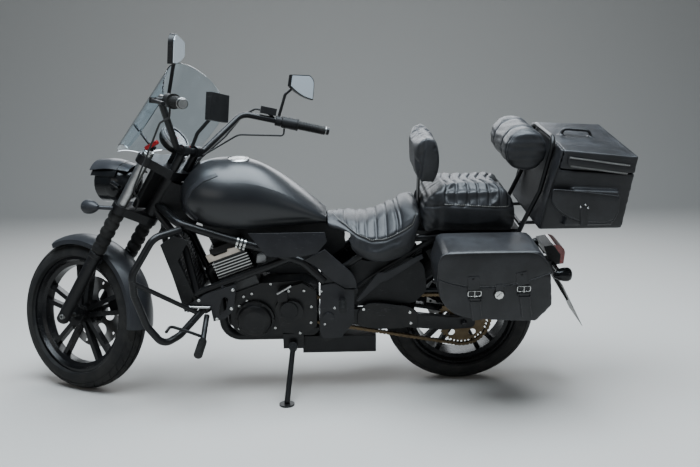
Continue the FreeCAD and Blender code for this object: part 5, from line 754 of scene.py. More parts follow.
def aligned(tree, axis, vector, pivot="AUTO", **links):
    """A rotation that turns an axis to a vector."""
    settings = {"axis": axis, "pivot_axis": pivot}
    return add(tree, "FunctionNodeAlignRotationToVector", settings, Vector=vector, **links).outputs[0]


def repeated(tree, given, out, points, rotation, **links):
    """The tree, ended by the template at its points, made real, with its material."""
    one = add(tree, "GeometryNodeObjectInfo", {}, Object=given["Template"], As_Instance=True)
    placed = add(tree, "GeometryNodeInstanceOnPoints", {}, Points=points, Instance=one.outputs["Geometry"],
                 Rotation=rotation, **links)
    real = add(tree, "GeometryNodeRealizeInstances", {}, Geometry=placed.outputs[0])
    painted = add(tree, "GeometryNodeSetMaterial", {}, Geometry=real.outputs[0], Material=given["Material"])
    tree.links.new(painted.outputs[0], out["Geometry"])
    return tree


def at_points_tree():
    """The template at each point, its Z along the point's facing and its X along the point's heading."""
    tree, given, out = new_group("set_at_points", [("Points", "g"), ("Template", "o"), ("Material", "m")],
                                 [("Geometry", "g")], "GeometryNodeTree")
    stood = aligned(tree, "Z", carried(tree, "facing"))
    headed = aligned(tree, "X", carried(tree, "heading"), "Z", Rotation=stood)
    return repeated(tree, given, out, given["Points"], headed)


def along_line_tree():
    """The template at even steps of a line, its X along the line and its Z along the line's facing."""
    tree, given, out = new_group("set_along_line", [("Line", "g"), ("Template", "o"), ("Material", "m"),
                                                    ("Spacing", "f"), ("Skip", "i"), ("Start", "i")],
                                 [("Geometry", "g")], "GeometryNodeTree")
    curve = add(tree, "GeometryNodeMeshToCurve", {}, Mesh=given["Line"])
    even = add(tree, "GeometryNodeResampleCurve", {"mode": "LENGTH"}, Curve=curve.outputs[0],
               Length=given["Spacing"])
    ahead = aligned(tree, "X", tree.nodes.new("GeometryNodeInputTangent").outputs[0])
    faced = aligned(tree, "Z", carried(tree, "facing"), "X", Rotation=ahead)
    order = math_node(tree, "SUBTRACT", tree.nodes.new("GeometryNodeInputIndex").outputs[0], given["Start"])
    turn = math_node(tree, "MODULO", order, given["Skip"])
    chosen = add(tree, "FunctionNodeCompare", {"operation": "EQUAL"}, A=turn, B=0.0, Epsilon=0.01)
    return repeated(tree, given, out, even.outputs[0], faced, Selection=chosen.outputs[0])


AT_POINTS = at_points_tree()
ALONG_LINE = along_line_tree()


def carry(mesh, name, vectors):
    """A vector for each point of a mesh to carry."""
    attribute = mesh.attributes.new(name, "FLOAT_VECTOR", "POINT")
    attribute.data.foreach_set("vector", [number for vector in vectors for number in vector])


def grown(name, mesh, shape, tree, paint, body, smooth_angle, **inputs):
    """The plain mesh of a shape's copies that a geometry tree sets on a mesh of points or lines."""
    base = loose(name + "_base", mesh)
    one = loose(name + "_one", shape)
    modifier = base.modifiers.new("repeat", "NODES")
    modifier.node_group = tree
    sockets = {item.name: item.identifier for item in tree.interface.items_tree if item.in_out == "INPUT"}
    for label, chosen in dict(inputs, Template=one, Material=PAINTS[paint]).items():
        modifier[sockets[label]] = chosen
    made = applied(base)
    bpy.data.objects.remove(one)
    return dressed(name, made, paint, body, smooth_angle)


def scattered(name, shape, places, paint, body="chassis", smooth_angle=35.0):
    """A small mesh set at many places of (point, facing, heading)."""
    points, facings, headings = zip(*places)
    mesh = mesh_of(name + "_points", points, [])
    carry(mesh, "facing", facings)
    carry(mesh, "heading", headings)
    return grown(name, mesh, shape, AT_POINTS, paint, body, smooth_angle)


def strung(name, shape, lines, spacing, paint, body, skip=1, start=0, smooth_angle=35.0, cyclic=False):
    """A small mesh set at even steps along lines of (point, facing)."""
    points, edges, facings = [], [], []
    for line in lines:
        first = len(points)
        points += [point for point, facing in line]
        facings += [facing for point, facing in line]
        edges += [(first + step, first + step + 1) for step in range(len(line) - 1)]
        if cyclic:
            edges.append((len(points) - 1, first))
    mesh = mesh_of(name + "_line", points, [], edges)
    carry(mesh, "facing", facings)
    return grown(name, mesh, shape, ALONG_LINE, paint, body, smooth_angle, Spacing=spacing, Skip=skip,
                 Start=start)


def hex_head(radius, height):
    """A hexagon bolt head on its washer, standing on Z."""
    edge = radius * 1.35
    flat = turned_mesh("washer", [(0, -0.0006), (edge, -0.0006), (edge, 0.0008), (edge * 0.93, 0.0012),
                                  (0, 0.0012)], 20)
    head = turned_mesh("head", [(0, 0.0008), (radius, 0.0008), (radius, height * 0.85),
                                (radius * 0.86, height), (0, height)], 6)
    return joined("hex_head", [flat, head])


def socket_head(radius, height):
    """A round socket screw with its hollow hexagon."""
    return turned_mesh("socket_head", [(0, -0.0006), (radius, -0.0006), (radius, height * 0.82),
                                       (radius * 0.88, height), (radius * 0.52, height),
                                       (radius * 0.52, height * 0.35), (0, height * 0.3)], 12)


def dome_head(radius, height):
    """A domed rivet or cap."""
    arc = [math.radians(step) for step in (0, 25, 50, 70)]
    dome = [(radius * math.cos(angle), height * math.sin(angle)) for angle in arc]
    return turned_mesh("dome_head", [(0, -0.0006), (radius, -0.0006)] + dome + [(0, height)], 14)


def stitch(length, radius):
    """One raised thread, along X."""
    half = length / 2
    return turned_mesh("stitch", [(0, -half), (radius * 0.7, -half * 0.86), (radius, -half * 0.45),
                                  (radius, half * 0.45), (radius * 0.7, half * 0.86), (0, half)], 6,
                       spin(90, "Y"))


def surface_of(thing):
    """A tree for casting rays onto a piece."""
    return BVHTree.FromObject(thing, bpy.context.evaluated_depsgraph_get())


def cast_line(tree, starts, direction, lift=0.0):
    """Where rays meet a surface: points raised by lift, each with its normal."""
    hits = [tree.ray_cast(start, direction)[:2] for start in starts]
    return [(spot + normal * lift, normal) for spot, normal in hits if spot is not None]


# Cushions, swelled by simulation, then sewn

def merged_copy(node):
    """A closed copy of a CAD node's mesh."""
    mesh = NODES[node].data.copy()
    with edited(mesh) as shell:
        bmesh.ops.remove_doubles(shell, verts=shell.verts, dist=1e-5)
    mesh.materials.clear()
    return mesh


def modified(name, mesh, kind, **settings):
    """The mesh with one modifier applied."""
    thing = loose(name, mesh)
    modifier = thing.modifiers.new("change", kind)
    for label, chosen in settings.items():
        setattr(modifier, label, chosen)
    return applied(thing)


def soft_copy(node, name, voxel, rounds):
    """A CAD node's shape in even small squares, with its edges softened."""
    even = modified(name, merged_copy(node), "REMESH", mode="VOXEL", voxel_size=voxel)
    return modified(name, even, "SMOOTH", iterations=rounds, factor=0.5)


def moved(mesh, shift):
    """Each point moved by shift(point, normal)."""
    normals = [vertex.normal.copy() for vertex in mesh.vertices]
    for vertex, normal in zip(mesh.vertices, normals):
        vertex.co += shift(vertex.co, normal)
    mesh.update()


def swelled(name, mesh, held, cap):
    """The mesh filled by cloth pressure, where no point moves further than the cap."""
    last_frame = 20
    before = [vertex.co.copy() for vertex in mesh.vertices]
    thing = loose(name, mesh)
    pins = thing.vertex_groups.new(name="held")
    pins.add([index for index, point in enumerate(before) if held(point)], 1.0, "REPLACE")
    cloth = thing.modifiers.new("stuffing", "CLOTH")
    cloth.settings.use_pressure = True
    cloth.settings.uniform_pressure_force = 4.0
    cloth.settings.effector_weights.gravity = 0
    cloth.settings.vertex_group_mass = "held"
    cloth.settings.quality = 5
    cloth.point_cache.frame_start = 1
    cloth.point_cache.frame_end = last_frame
    for step in range(1, last_frame + 1):
        bpy.context.scene.frame_set(step)
    filled = applied(thing)
    bpy.context.scene.frame_set(1)
    for vertex, start in zip(filled.vertices, before):
        reach = vertex.co - start
        if reach.length > cap:
            vertex.co = start + reach * (cap / reach.length)
    filled.update()
    return filled


def cushion(node, name, inset, cap, rounds, floor, sewn):
    """A stuffed pad in a CAD node's place, sewn by sewn(local point, local normal), which gives a depth."""
    mesh = soft_copy(node, name, 0.0058, rounds)
    moved(mesh, lambda point, normal: normal * -inset)
    mesh = swelled(name, mesh, lambda point: (TO_DRAWING @ point).z < floor, cap)
    mesh = modified(name, mesh, "SUBSURF", levels=1, render_levels=1)
    turn = UPRIGHT.transposed()
    moved(mesh, lambda point, normal: normal * sewn(TO_DRAWING @ point, turn @ normal))
    made = dressed(name, mesh, "seat", "chassis", 180)
    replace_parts(made, node)


def dip(distance, width, depth):
    """A rounded groove's depth at a distance from its middle."""
    return -depth * math.exp(-(distance / width) ** 2)


def along(table, x):
    """The value of a table of (x, value) pairs at x."""
    if x <= table[0][0]:
        return table[0][1]
    for (x0, v0), (x1, v1) in zip(table, table[1:]):
        if x <= x1:
            return v0 + (v1 - v0) * (x - x0) / (x1 - x0)
    return table[-1][1]


def faded(value, start, end):
    """From 0 at start to 1 at end."""
    share = min(1.0, max(0.0, (value - start) / (end - start)))
    return share * share * (3 - 2 * share)


RIDER_SEAM = [(-0.560, 0.752), (-0.512, 0.738), (-0.473, 0.722), (-0.431, 0.697), (-0.374, 0.677),
              (-0.320, 0.683), (-0.267, 0.707), (-0.218, 0.742), (-0.197, 0.798)]
RIDER_CHANNELS = [(-0.505, 0.0022), (-0.474, 0.0055), (-0.427, 0.0042), (-0.394, 0.0040), (-0.356, 0.0050),
                  (-0.318, 0.0048), (-0.287, 0.0080), (-0.272, 0.0050)]
PASSENGER_SEAM = [(-0.150, 0.806), (-0.097, 0.813), (0.010, 0.806), (0.114, 0.800), (0.170, 0.800)]
PASSENGER_CHANNELS = [(-0.091, -0.090), (-0.054, -0.054), (-0.016, -0.006), (0.016, 0.033), (0.048, 0.076),
                      (0.087, 0.116), (0.130, 0.152)]


def rider_sewing(point, normal):
    """Channels across the rider's seat down to its seam, and the rolled edge along that seam."""
    seam = along(RIDER_SEAM, point.x)
    above = point.z - seam
    side = faded(abs(normal.y), 0.25, 0.6)
    amount = dip(above, 0.0055, 0.0038) * side + 0.0025 * side * math.exp(-((above - 0.016) / 0.011) ** 2)
    if above > -0.002:
        reach = faded(above, 0.002, 0.014) if abs(normal.y) > 0.25 else 1.0
        for x, depth in RIDER_CHANNELS:
            bow = 0.010 * faded(abs(point.y), 0.03, 0.14) if x > -0.29 else 0.0
            amount += dip(point.x - x - bow, 0.0055, depth * 0.9) * reach
            amount += dip(point.x - x - bow, 0.017, depth * 0.35) * reach
    return amount


def passenger_sewing(point, normal):
    """Bowed channels across the passenger's seat, its seam, and the strap's dent near the front."""
    seam = along(PASSENGER_SEAM, point.x)
    above = point.z - seam
    side = faded(abs(normal.y), 0.25, 0.6)
    amount = dip(above, 0.0050, 0.0035) * side
    if above > -0.002:
        reach = faded(above, 0.0, 0.012) if abs(normal.y) > 0.25 else 1.0
        share = min(1.0, max(0.0, (abs(point.y) - 0.02) / 0.105))
        for top, low in PASSENGER_CHANNELS:
            x = top + (low - top) * share + 0.040 * share * (1 - share)
            amount += dip(point.x - x, 0.0050, 0.0052) * reach + dip(point.x - x, 0.015, 0.0018) * reach
    amount += dip(point.x + 0.117, 0.016, 0.0035)
    amount += 0.0012 * math.sin(point.z * 190 + point.x * 130) * faded(-point.x, 0.125, 0.15)
    return amount


def backrest_sewing(point, normal):
    """The seam between the backrest's front panel and its sides."""
    tilt = point.x + 0.186 - (point.z - 0.985) * 0.10
    edge = faded(max(abs(normal.y), abs(normal.z)), 0.2, 0.5)
    return dip(tilt, 0.0040, 0.0032) * edge + 0.0016 * edge * math.exp(-((tilt - 0.009) / 0.006) ** 2)


def roll_sewing(point, normal):
    """Seams round the roll, and soft creases between them."""
    amount = 0.0
    for y in (-0.140, -0.066, 0.066, 0.140):
        amount += dip(point.y - y, 0.0045, 0.0036) + dip(point.y - y, 0.015, 0.0020)
    return amount + 0.0009 * math.sin(point.z * 210 + math.sin(point.y * 40) * 1.4)


cushion("rider_seat", "rider_cushion", 0.004, 0.008, 4, 0.640, rider_sewing)
cushion("passenger_seat", "passenger_cushion", 0.001, 0.012, 34, 0.715, passenger_sewing)
cushion("rider_backrest", "backrest_cushion", 0.001, 0.010, 22, 0.0, backrest_sewing)
cushion("roll_pad", "roll_cushion", 0.003, 0.006, 3, 0.0, roll_sewing)


def threaded(name, cushion_name, seam, start, end, rise):
    """Stitches on both sides of a cushion, a little above a seam of (x, z)."""
    surface = surface_of(bpy.data.objects[cushion_name])
    step = 0.0075
    count = int((end - start) / 0.004)
    xs = [start + (end - start) * number / count for number in range(count + 1)]
    lines = []
    for side in (-1, 1):
        starts = [local(x, side * 0.4, along(seam, x) + rise) for x in xs]
        lines.append(cast_line(surface, starts, outside(-side), 0.0007))
    strung(name, stitch(step * 0.66, 0.0011), lines, step, "thread", "chassis")


threaded("rider_seam_thread", "rider_cushion", RIDER_SEAM, -0.540, -0.205, 0.0065)
threaded("passenger_seam_thread", "passenger_cushion", PASSENGER_SEAM, -0.095, 0.150, 0.005)

# Leather luggage

BAG_OUT = 0.402
TOP_HALF = 0.222


def bag_shell(node, name, body, voxel, rounds, sag):
    """A CAD shell as soft leather: rounded edges, and moved by sag(local point)."""
    mesh = soft_copy(node, name, voxel, rounds)
    moved(mesh, lambda point, normal: UPRIGHT @ sag(TO_DRAWING @ point))
    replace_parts(dressed(name, mesh, "bag", body, 180), node)


def bulge(share):
    """A pillow's height between two edges, where share runs from 0 to 1."""
    share = min(1.0, max(0.0, share))
    return math.sqrt(share * (1 - share)) * 2


def saddle_sag(point):
    """The saddlebag's outer wall pushed out, its lid domed and its floor hanging."""
    side = 1 if point.y > 0 else -1
    outer = faded(abs(point.y), 0.30, 0.39)
    across = bulge((point.x + 0.152) / 0.42) * bulge((point.z - 0.452) / 0.272)
    over = faded(point.z, 0.70, 0.72)
    over *= bulge((point.x + 0.120) / 0.32) * bulge((abs(point.y) - 0.192) / 0.21)
    under = faded(0.48 - point.z, 0.0, 0.02) * bulge((point.x + 0.03) / 0.27)
    return Vector((0, side * 0.0055 * across * outer, 0.004 * over - 0.004 * under))


def top_sag(point):
    """The top bag slumped toward its rear and its left, with soft walls."""
    length, height = (point.x - 0.246) / 0.32, (point.z - 0.740) / 0.322
    slump = (0.012 + 0.034 * min(1.0, max(0.0, length))) * max(0.0, height)
    slump *= 1.0 - 0.6 * (point.y + TOP_HALF) / (2 * TOP_HALF)
    out = faded(abs(point.y), 0.20, 0.215) * bulge(length) * bulge(height)
    rear = faded(point.x, 0.53, 0.55) * bulge((point.y + TOP_HALF) / (2 * TOP_HALF)) * bulge(height)
    dome = faded(point.z, 1.04, 1.055) * bulge(length) * bulge((point.y + TOP_HALF) / (2 * TOP_HALF))
    side = 1 if point.y > 0 else -1
    return Vector((0.004 * rear, side * 0.003 * out, 0.005 * dome - slump))


def panel(name, bottom, top, face, thick, body, columns, rows):
    """A sewn-on leather panel between two lines of (x, z), its face at y = face(x, z)."""
    first, last = bottom[0][0], bottom[-1][0]
    xs = sorted({round(first + (last - first) * (1 - math.cos(math.pi * step / columns)) / 2, 5)
                 for step in range(columns + 1)} | {x for x, z in top if first < x < last})
    points = []
    for layer in (0.0, 1.0):
        for row in range(rows + 1):
            share = row / rows
            edge = min(1.0, 4.0 * min(share, 1 - share) + 0.35)
            for x in xs:
                z = along(bottom, x) * (1 - share) + along(top, x) * share
                y = face(x, z)
                points.append(local(x, y + math.copysign(thick * layer * edge, y), z))
    dressed(name, closed_grid(name, points, len(xs), rows), "bag", body, 50)


def on_face(line, face, out=0.0):
    """Row points of a line of (x, z) on a face."""
    return [local(x, face(x, z) + math.copysign(out, face(x, z)), z) for x, z in line]


def dense(line, step=0.006):
    """A line of (x, z) with points at even small steps."""
    made = [line[0]]
    for (x0, z0), (x1, z1) in zip(line, line[1:]):
        count = max(1, int(math.hypot(x1 - x0, z1 - z0) / step))
        made += [(x0 + (x1 - x0) * number / count, z0 + (z1 - z0) * number / count)
                 for number in range(1, count + 1)]
    return made


def piping(name, lines, face, radius, body, out=0.0):
    """Raised cords along lines of (x, z) on a face."""
    meshes = [swept(name, on_face(dense(line, 0.012), face, out), radius) for line in lines]
    dressed(name, joined(name, meshes), "bag", body, 60)


def whipped(name, lines, face, out, body, step, length, slant=0, paint="dark_thread"):
    """Slanted stitches along lines of (x, z) on a face."""
    shape = stitch(length, 0.0011)
    shape.transform(spin(slant, "Z"))
    strands = []
    for line in lines:
        facing = outside(math.copysign(1.0, face(*line[0])))
        strands.append([(point, facing) for point in on_face(dense(line, 0.004), face, out)])
    strung(name, shape, strands, step, paint, body)


def strap(name, line, face, width, thick, body):
    """A flat leather strap along a line of (x, z) on a face."""
    line = dense(line, 0.008)
    section = ((-0.5, 0.0), (-0.5, 0.6), (-0.44, 1.0), (0.44, 1.0), (0.5, 0.6), (0.5, 0.0))
    points = []
    for index, (x, z) in enumerate(line):
        before, after = line[max(0, index - 1)], line[min(len(line) - 1, index + 1)]
        run = Vector((after[0] - before[0], after[1] - before[1])).normalized()
        across = Vector((run.y, -run.x))
        y = face(x, z)
        for part, lift in section:
            points.append(local(x + across.x * width * part, y + math.copysign(thick * lift, y),
                                z + across.y * width * part))
    dressed(name, closed_bar(name, points, len(section)), "bag", body, 40)


def loop(name, centre, size_x, size_z, face, radius, out):
    """A rectangular wire loop standing on a face."""
    x, z = centre
    corners = [(x + part * size_x / 2, z + rise * size_z / 2)
               for part, rise in ((-1, -1), (1, -1), (1, 1), (-1, 1))]
    return swept(name, on_face(rounded_outline(corners, 0.006, 3), face, out), radius, cyclic=True)


LID_PIPE = [(-0.1535, 0.625), (-0.152, 0.684), (-0.146, 0.708), (-0.130, 0.720), (-0.038, 0.7225),
            (0.125, 0.7225), (0.174, 0.7215), (0.200, 0.716), (0.222, 0.700), (0.240, 0.675), (0.255, 0.645)]
LID_EDGE = [(-0.1535, 0.624), (-0.098, 0.604), (-0.052, 0.594), (0.002, 0.590), (0.052, 0.590),
            (0.101, 0.597), (0.166, 0.613), (0.255, 0.645)]
BAG_STRAPS = {"front": [(-0.026, 0.636), (-0.023, 0.586), (-0.012, 0.520), (-0.002, 0.462)],
              "rear": [(0.143, 0.650), (0.153, 0.602), (0.165, 0.540), (0.177, 0.474)]}
TAB_RIVETS = [(-0.028, 0.628), (0.144, 0.642)]
FASTENER = (0.069, 0.563)


def saddlebag_leather(side, sign):
    """The case, lid, flap panel, piping, straps, buckles and fastener of one saddlebag."""
    lid_body = f"{side}_bag_lid"
    bag_shell(f"{side}_saddlebag", f"{side}_case_leather", "chassis", 0.0044, 14, saddle_sag)
    bag_shell(lid_body, f"{side}_lid_leather", lid_body, 0.0044, 9, saddle_sag)

    def skin(x, z, out=0.0):
        """The case's outer face, raised by out."""
        return sign * (BAG_OUT - saddle_sag(Vector((x, -BAG_OUT, z))).y) + sign * out

    def lid_face(x, z, out=0.0):
        """The lid's outer face, raised by out."""
        return skin(x, z, 0.0042) + sign * out

    panel(f"{side}_lid_panel", LID_EDGE, LID_PIPE, lid_face, 0.0030, lid_body, 48, 10)
    piping(f"{side}_lid_piping", [LID_PIPE, LID_EDGE], lid_face, 0.0026, lid_body, 0.0016)
    whipped(f"{side}_lid_thread", [[(x, z + 0.008) for x, z in LID_EDGE[1:-1]]], lid_face, 0.0034, lid_body,
            0.0058, 0.0036)
    silver, dark = [], []
    for place, line in BAG_STRAPS.items():
        x, z = line[1]
        strap(f"{side}_{place}_tab", line[:2], lambda x, z: lid_face(x, z, 0.0028), 0.042, 0.0030, lid_body)
        below = [(x + 0.001, z - 0.010)] + line[2:]
        strap(f"{side}_{place}_strap", below, lambda x, z: skin(x, z, 0.0006), 0.040, 0.0036, "chassis")
        seams = [[(x + edge, z) for x, z in below] for edge in (-0.016, 0.016)]
        whipped(f"{side}_{place}_strap_thread", seams, skin, 0.0045, "chassis", 0.0060, 0.0040)
        silver.append(loop("buckle", (x + 0.003, z - 0.016), 0.047, 0.020, skin, 0.0019, 0.0075))
        dark.append(loop("keeper", (x + 0.007, z - 0.042), 0.046, 0.014, skin, 0.0022, 0.0055))
        prong = [(x + 0.003, z - 0.006), (x + 0.004, z - 0.030)]
        silver.append(swept("prong", on_face(dense(prong, 0.006), skin, 0.0085), 0.0016))
    dressed(f"{side}_buckles", joined("buckles", silver), "bright", "chassis", 40)
    dressed(f"{side}_keepers", joined("keepers", dark), "bag", "chassis", 40)
    facing = outside(sign)
    rivets = [(spot, facing, REARWARD) for spot in on_face(TAB_RIVETS, lid_face, 0.0056)]
    scattered(f"{side}_tab_rivets", dome_head(0.0046, 0.0026), rivets, "satin", lid_body)
    base = turned_mesh("base", [(0, 0), (0.021, 0), (0.021, 0.002), (0.019, 0.003), (0, 0.003)], 8)
    knob = turned_mesh("knob", [(0, 0.003), (0.0155, 0.003), (0.0175, 0.005), (0.0165, 0.008),
                                (0.010, 0.0095), (0, 0.0095)], 8)
    grip = slab("grip", [(-0.0125, -0.003), (0.0125, -0.003), (0.0125, 0.003), (-0.0125, 0.003)], 0.004,
                Matrix.Translation((0, 0, 0.009)) @ spin(38, "Z"), 0.001)
    at_face = [(on_face([FASTENER], skin, 0.0004)[0], facing, REARWARD)]
    scattered(f"{side}_fastener_base", base, at_face, "plastic")
    scattered(f"{side}_fastener", joined("fastener", [knob, grip]), at_face, "bright", smooth_angle=30)
    strap(f"{side}_fastener_tab", [(0.067, 0.604), (0.069, 0.580)], lambda x, z: lid_face(x, z, 0.0020),
          0.026, 0.0024, lid_body)


saddlebag_leather("left", -1)
saddlebag_leather("right", 1)

# Top bag

FLAP_TOP = [(0.279, 0.906), (0.350, 0.900), (0.440, 0.888), (0.525, 0.876)]
FLAP_LOW = [(0.279, 0.862), (0.288, 0.842), (0.308, 0.818), (0.351, 0.792), (0.401, 0.774), (0.480, 0.770),
            (0.512, 0.781), (0.525, 0.815)]
STRIP_TOP = [(0.333, 1.022), (0.440, 1.006), (0.562, 0.988)]
STRIP_LOW = [(0.333, 0.992), (0.345, 0.980), (0.440, 0.966), (0.550, 0.949), (0.562, 0.962)]
STRIP_SEAMS = [[(0.340, 1.017), (0.440, 1.002), (0.557, 0.984)],
               [(0.346, 0.985), (0.440, 0.971), (0.552, 0.954)]]
POCKET_STRAP = [(0.395, 0.838), (0.399, 0.800), (0.404, 0.768)]
POCKET_STUDS = [(0.384, 0.838), (0.402, 0.846), (0.412, 0.834)]
FRONT_EDGE = [(0.300, 0.990), (0.291, 0.955), (0.272, 0.870), (0.250, 0.765)]


def top_bag_trim(side, sign):
    """Pocket flap, lid strip, strap, studs and piping on one side of the top bag."""
    def wall(out):
        """The flat face that is raised by out from the bag's side."""
        return lambda x, z: sign * (TOP_HALF + out)

    pocket, lid = wall(0.0325), wall(0.0040)
    panel(f"{side}_pocket_flap", FLAP_LOW, FLAP_TOP, pocket, 0.0040, "chassis", 40, 10)
    rim = FLAP_LOW + FLAP_TOP[::-1] + FLAP_LOW[:1]
    piping(f"{side}_flap_piping", [rim], pocket, 0.0022, "chassis", 0.0016)
    whipped(f"{side}_flap_thread", [[(x, z + 0.009) for x, z in FLAP_LOW[1:-1]]], pocket, 0.0044, "chassis",
            0.0056, 0.0036)
    panel(f"{side}_lid_strip", STRIP_LOW, STRIP_TOP, lid, 0.0040, "top_bag_lid", 40, 4)
    whipped(f"{side}_strip_thread", STRIP_SEAMS, lid, 0.0044, "top_bag_lid", 0.0075, 0.0085, 48, "thread")
    strap(f"{side}_pocket_strap", POCKET_STRAP, wall(0.0365), 0.026, 0.0030, "chassis")
    scattered(f"{side}_pocket_studs", dome_head(0.0042, 0.0030),
              [(spot, outside(sign), REARWARD) for spot in on_face(POCKET_STUDS, wall(0.0370))], "bright")
    piping(f"{side}_edge_piping", [FRONT_EDGE], wall(0.0030), 0.0024, "chassis")


bag_shell("top_bag", "top_case_leather", "chassis", 0.0052, 5, top_sag)
bag_shell("top_bag_lid", "top_lid_leather", "top_bag_lid", 0.0046, 5, top_sag)
top_bag_trim("left", -1)
top_bag_trim("right", 1)

# Tyres with cut treads

def hooped(name, profile, steps, place):
    """A closed ring of a closed profile of (radius, across), round the axle along Y."""
    count = len(profile)
    points, faces = [], []
    for step in range(steps):
        angle = math.tau * step / steps
        points += [place @ Vector((radius * math.cos(angle), across, radius * math.sin(angle)))
                   for radius, across in profile]
        low, high = step * count, (step + 1) % steps * count
        faces += [[low + index, low + (index + 1) % count, high + (index + 1) % count, high + index]
                  for index in range(count)]
    return outward(mesh_of(name, points, faces))


def tread_block(crown, first, last, start, length, slant):
    """One raised block between two angles on the crown, its ends slanted along the tread."""
    columns, rows = 5, 3
    points = []
    for depth in (0.0, 0.0045):
        for column in range(columns + 1):
            angle = math.radians(first + (last - first) * column / columns)
            shift = start + slant * (column / columns) ** 1.4
            for row in range(rows + 1):
                turn = (shift + length * row / rows) / TYRE_R
                radius = TYRE_R - depth - crown * (1 - math.cos(angle))
                points.append((radius * math.cos(turn), radius * math.sin(turn),
                               (crown - depth) * math.sin(angle)))
    squares, walls = grid_faces(rows + 1, columns)
    return mesh_of("tread_block", points, squares + walls)


def tyre(end, place, crown, rim_half, flange, repeats):
    """Carcass with ribbed walls, and two rows of slanted blocks each side of the middle."""
    reach = math.degrees(math.asin(0.97))
    arc = [math.radians(-reach + 2 * reach * step / 16) for step in range(17)]
    skin = [(TYRE_R - 0.0036 - crown * (1 - math.cos(angle)), crown * math.sin(angle)) for angle in arc]
    shoulder = skin[-1][0]
    half = [(shoulder - 0.012, crown * 0.985), (shoulder - 0.015, crown), (shoulder - 0.018, crown),
            (shoulder - 0.020, crown * 0.98), ((shoulder + flange) / 2 - 0.004, crown * 0.94),
            (flange + 0.012, rim_half + 0.008), (flange + 0.009, rim_half + 0.0085),
            (flange + 0.006, rim_half + 0.005), (flange + 0.0006, rim_half + 0.001),
            (flange + 0.0006, rim_half - 0.008), (flange + 0.014, crown * 0.72),
            (shoulder - 0.006, crown * 0.82), (TYRE_R - 0.016, crown * 0.3)]
    profile = skin + half + [(radius, -across) for radius, across in reversed(half)]
    name, body = f"{end}_carcass", f"{end}_wheel"
    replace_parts(dressed(name, hooped(name, profile, 112, place), "tyre", body, 40), f"{end}_tyre")
    pitch = math.tau * TYRE_R / repeats
    blocks = []
    for sign, shift in ((1, 0.0), (-1, pitch / 2)):
        blocks.append(tread_block(crown, sign * 3, sign * 25, shift, pitch - 0.0045, 0.020))
        blocks.append(tread_block(crown, sign * 29, sign * 55, shift + 0.030, pitch - 0.0050, 0.026))
    turn = place.to_3x3()
    angles = [math.tau * number / repeats for number in range(repeats)]
    facing = turn @ Vector((0, -1, 0))
    spots = [(place.translation, facing, turn @ Vector((math.cos(angle), 0, math.sin(angle))))
             for angle in angles]
    scattered(f"{end}_tread", outward(joined("tread", blocks)), spots, "tyre", body, 30)


tyre("front", FRONT_WHEEL, 0.060, 0.044, 0.240, 38)
tyre("rear", REAR_WHEEL, 0.080, 0.062, 0.228, 36)

# Chain of separate links

REAR_SPROCKET = Vector((0.0, TYRE_R))
FRONT_SPROCKET = Vector((-0.660, 0.373))
REAR_PITCH_R = 0.112
FRONT_PITCH_R = 0.0475
CHAIN_PITCH = 0.0159
PLATE_HALF = 0.0070


def chain_line(step=0.004):
    """Points of the chain's middle line in the drawing's (x, z)."""
    reach = FRONT_SPROCKET - REAR_SPROCKET
    ahead = reach.normalized()
    upward = Vector((ahead.y, -ahead.x))
    if upward.y < 0:
        upward = -upward
    lean = math.acos((REAR_PITCH_R - FRONT_PITCH_R) / reach.length)
    made = []
    for centre, radius, first, last in ((FRONT_SPROCKET, FRONT_PITCH_R, lean, -lean),
                                        (REAR_SPROCKET, REAR_PITCH_R, -lean, lean - math.tau)):
        count = max(6, int(abs(last - first) * radius / step))
        for number in range(count + 1):
            angle = first + (last - first) * number / count
            made.append(centre + (ahead * math.cos(angle) + upward * math.sin(angle)) * radius)
    return made


def link_plate(low, thick):
    """One waisted plate of a link, as long as the chain's pitch."""
    outline = []
    for end in (1, -1):
        for step in range(-3, 4):
            angle = math.radians(step * 30)
            outline.append((end * (CHAIN_PITCH / 2 + PLATE_HALF * math.cos(angle)),
                            end * PLATE_HALF * math.sin(angle)))
        outline.append((0.0, end * PLATE_HALF * 0.62))
    return slab("plate", outline, thick, Matrix.Translation((0, 0, low)))


def chain():
    """Rollers, and inner and outer plates in turn."""
    line = [(local(point.x, -0.096, point.y), outside(-1)) for point in chain_line()]
    ends = [Matrix.Translation((x, 0, 0)) for x in (CHAIN_PITCH / 2, -CHAIN_PITCH / 2)]
    barrel = [(0, -0.0048), (0.0046, -0.0048), (0.0046, 0.0048), (0, 0.0048)]
    roller = turned_mesh("roller", barrel, 8, ends[0])
    pins = [turned_mesh("pin", [(0, -0.0090), (0.0024, -0.0086), (0.0024, 0.0086), (0, 0.0090)], 6, end)
            for end in ends]
    inner = joined("inner_link", [link_plate(0.0036, 0.0018), link_plate(-0.0054, 0.0018), roller])
    outer = joined("outer_link", [link_plate(0.0058, 0.0016), link_plate(-0.0074, 0.0016)] + pins)
    total = sum((b[0] - a[0]).length for a, b in zip(line, line[1:] + line[:1]))
    spacing = total / (2 * round(total / CHAIN_PITCH / 2))
    made = strung("inner_links", inner, [line], spacing, "chain", "chassis", 2, 0, 30, True)
    strung("outer_links", outer, [line], spacing, "chain", "chassis", 2, 1, 30, True)
    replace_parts(made, "chain")


chain()

# Small fittings on the engine, frame and covers


def side_hit(trees, x, z, sign):
    """The outermost surface met from one side at (x, z): its point and its normal."""
    hits = [tree.ray_cast(local(x, sign * 0.6, z), outside(-sign)) for tree in trees]
    hits = [hit for hit in hits if hit[0] is not None]
    return min(hits, key=lambda hit: hit[3])[:2] if hits else None


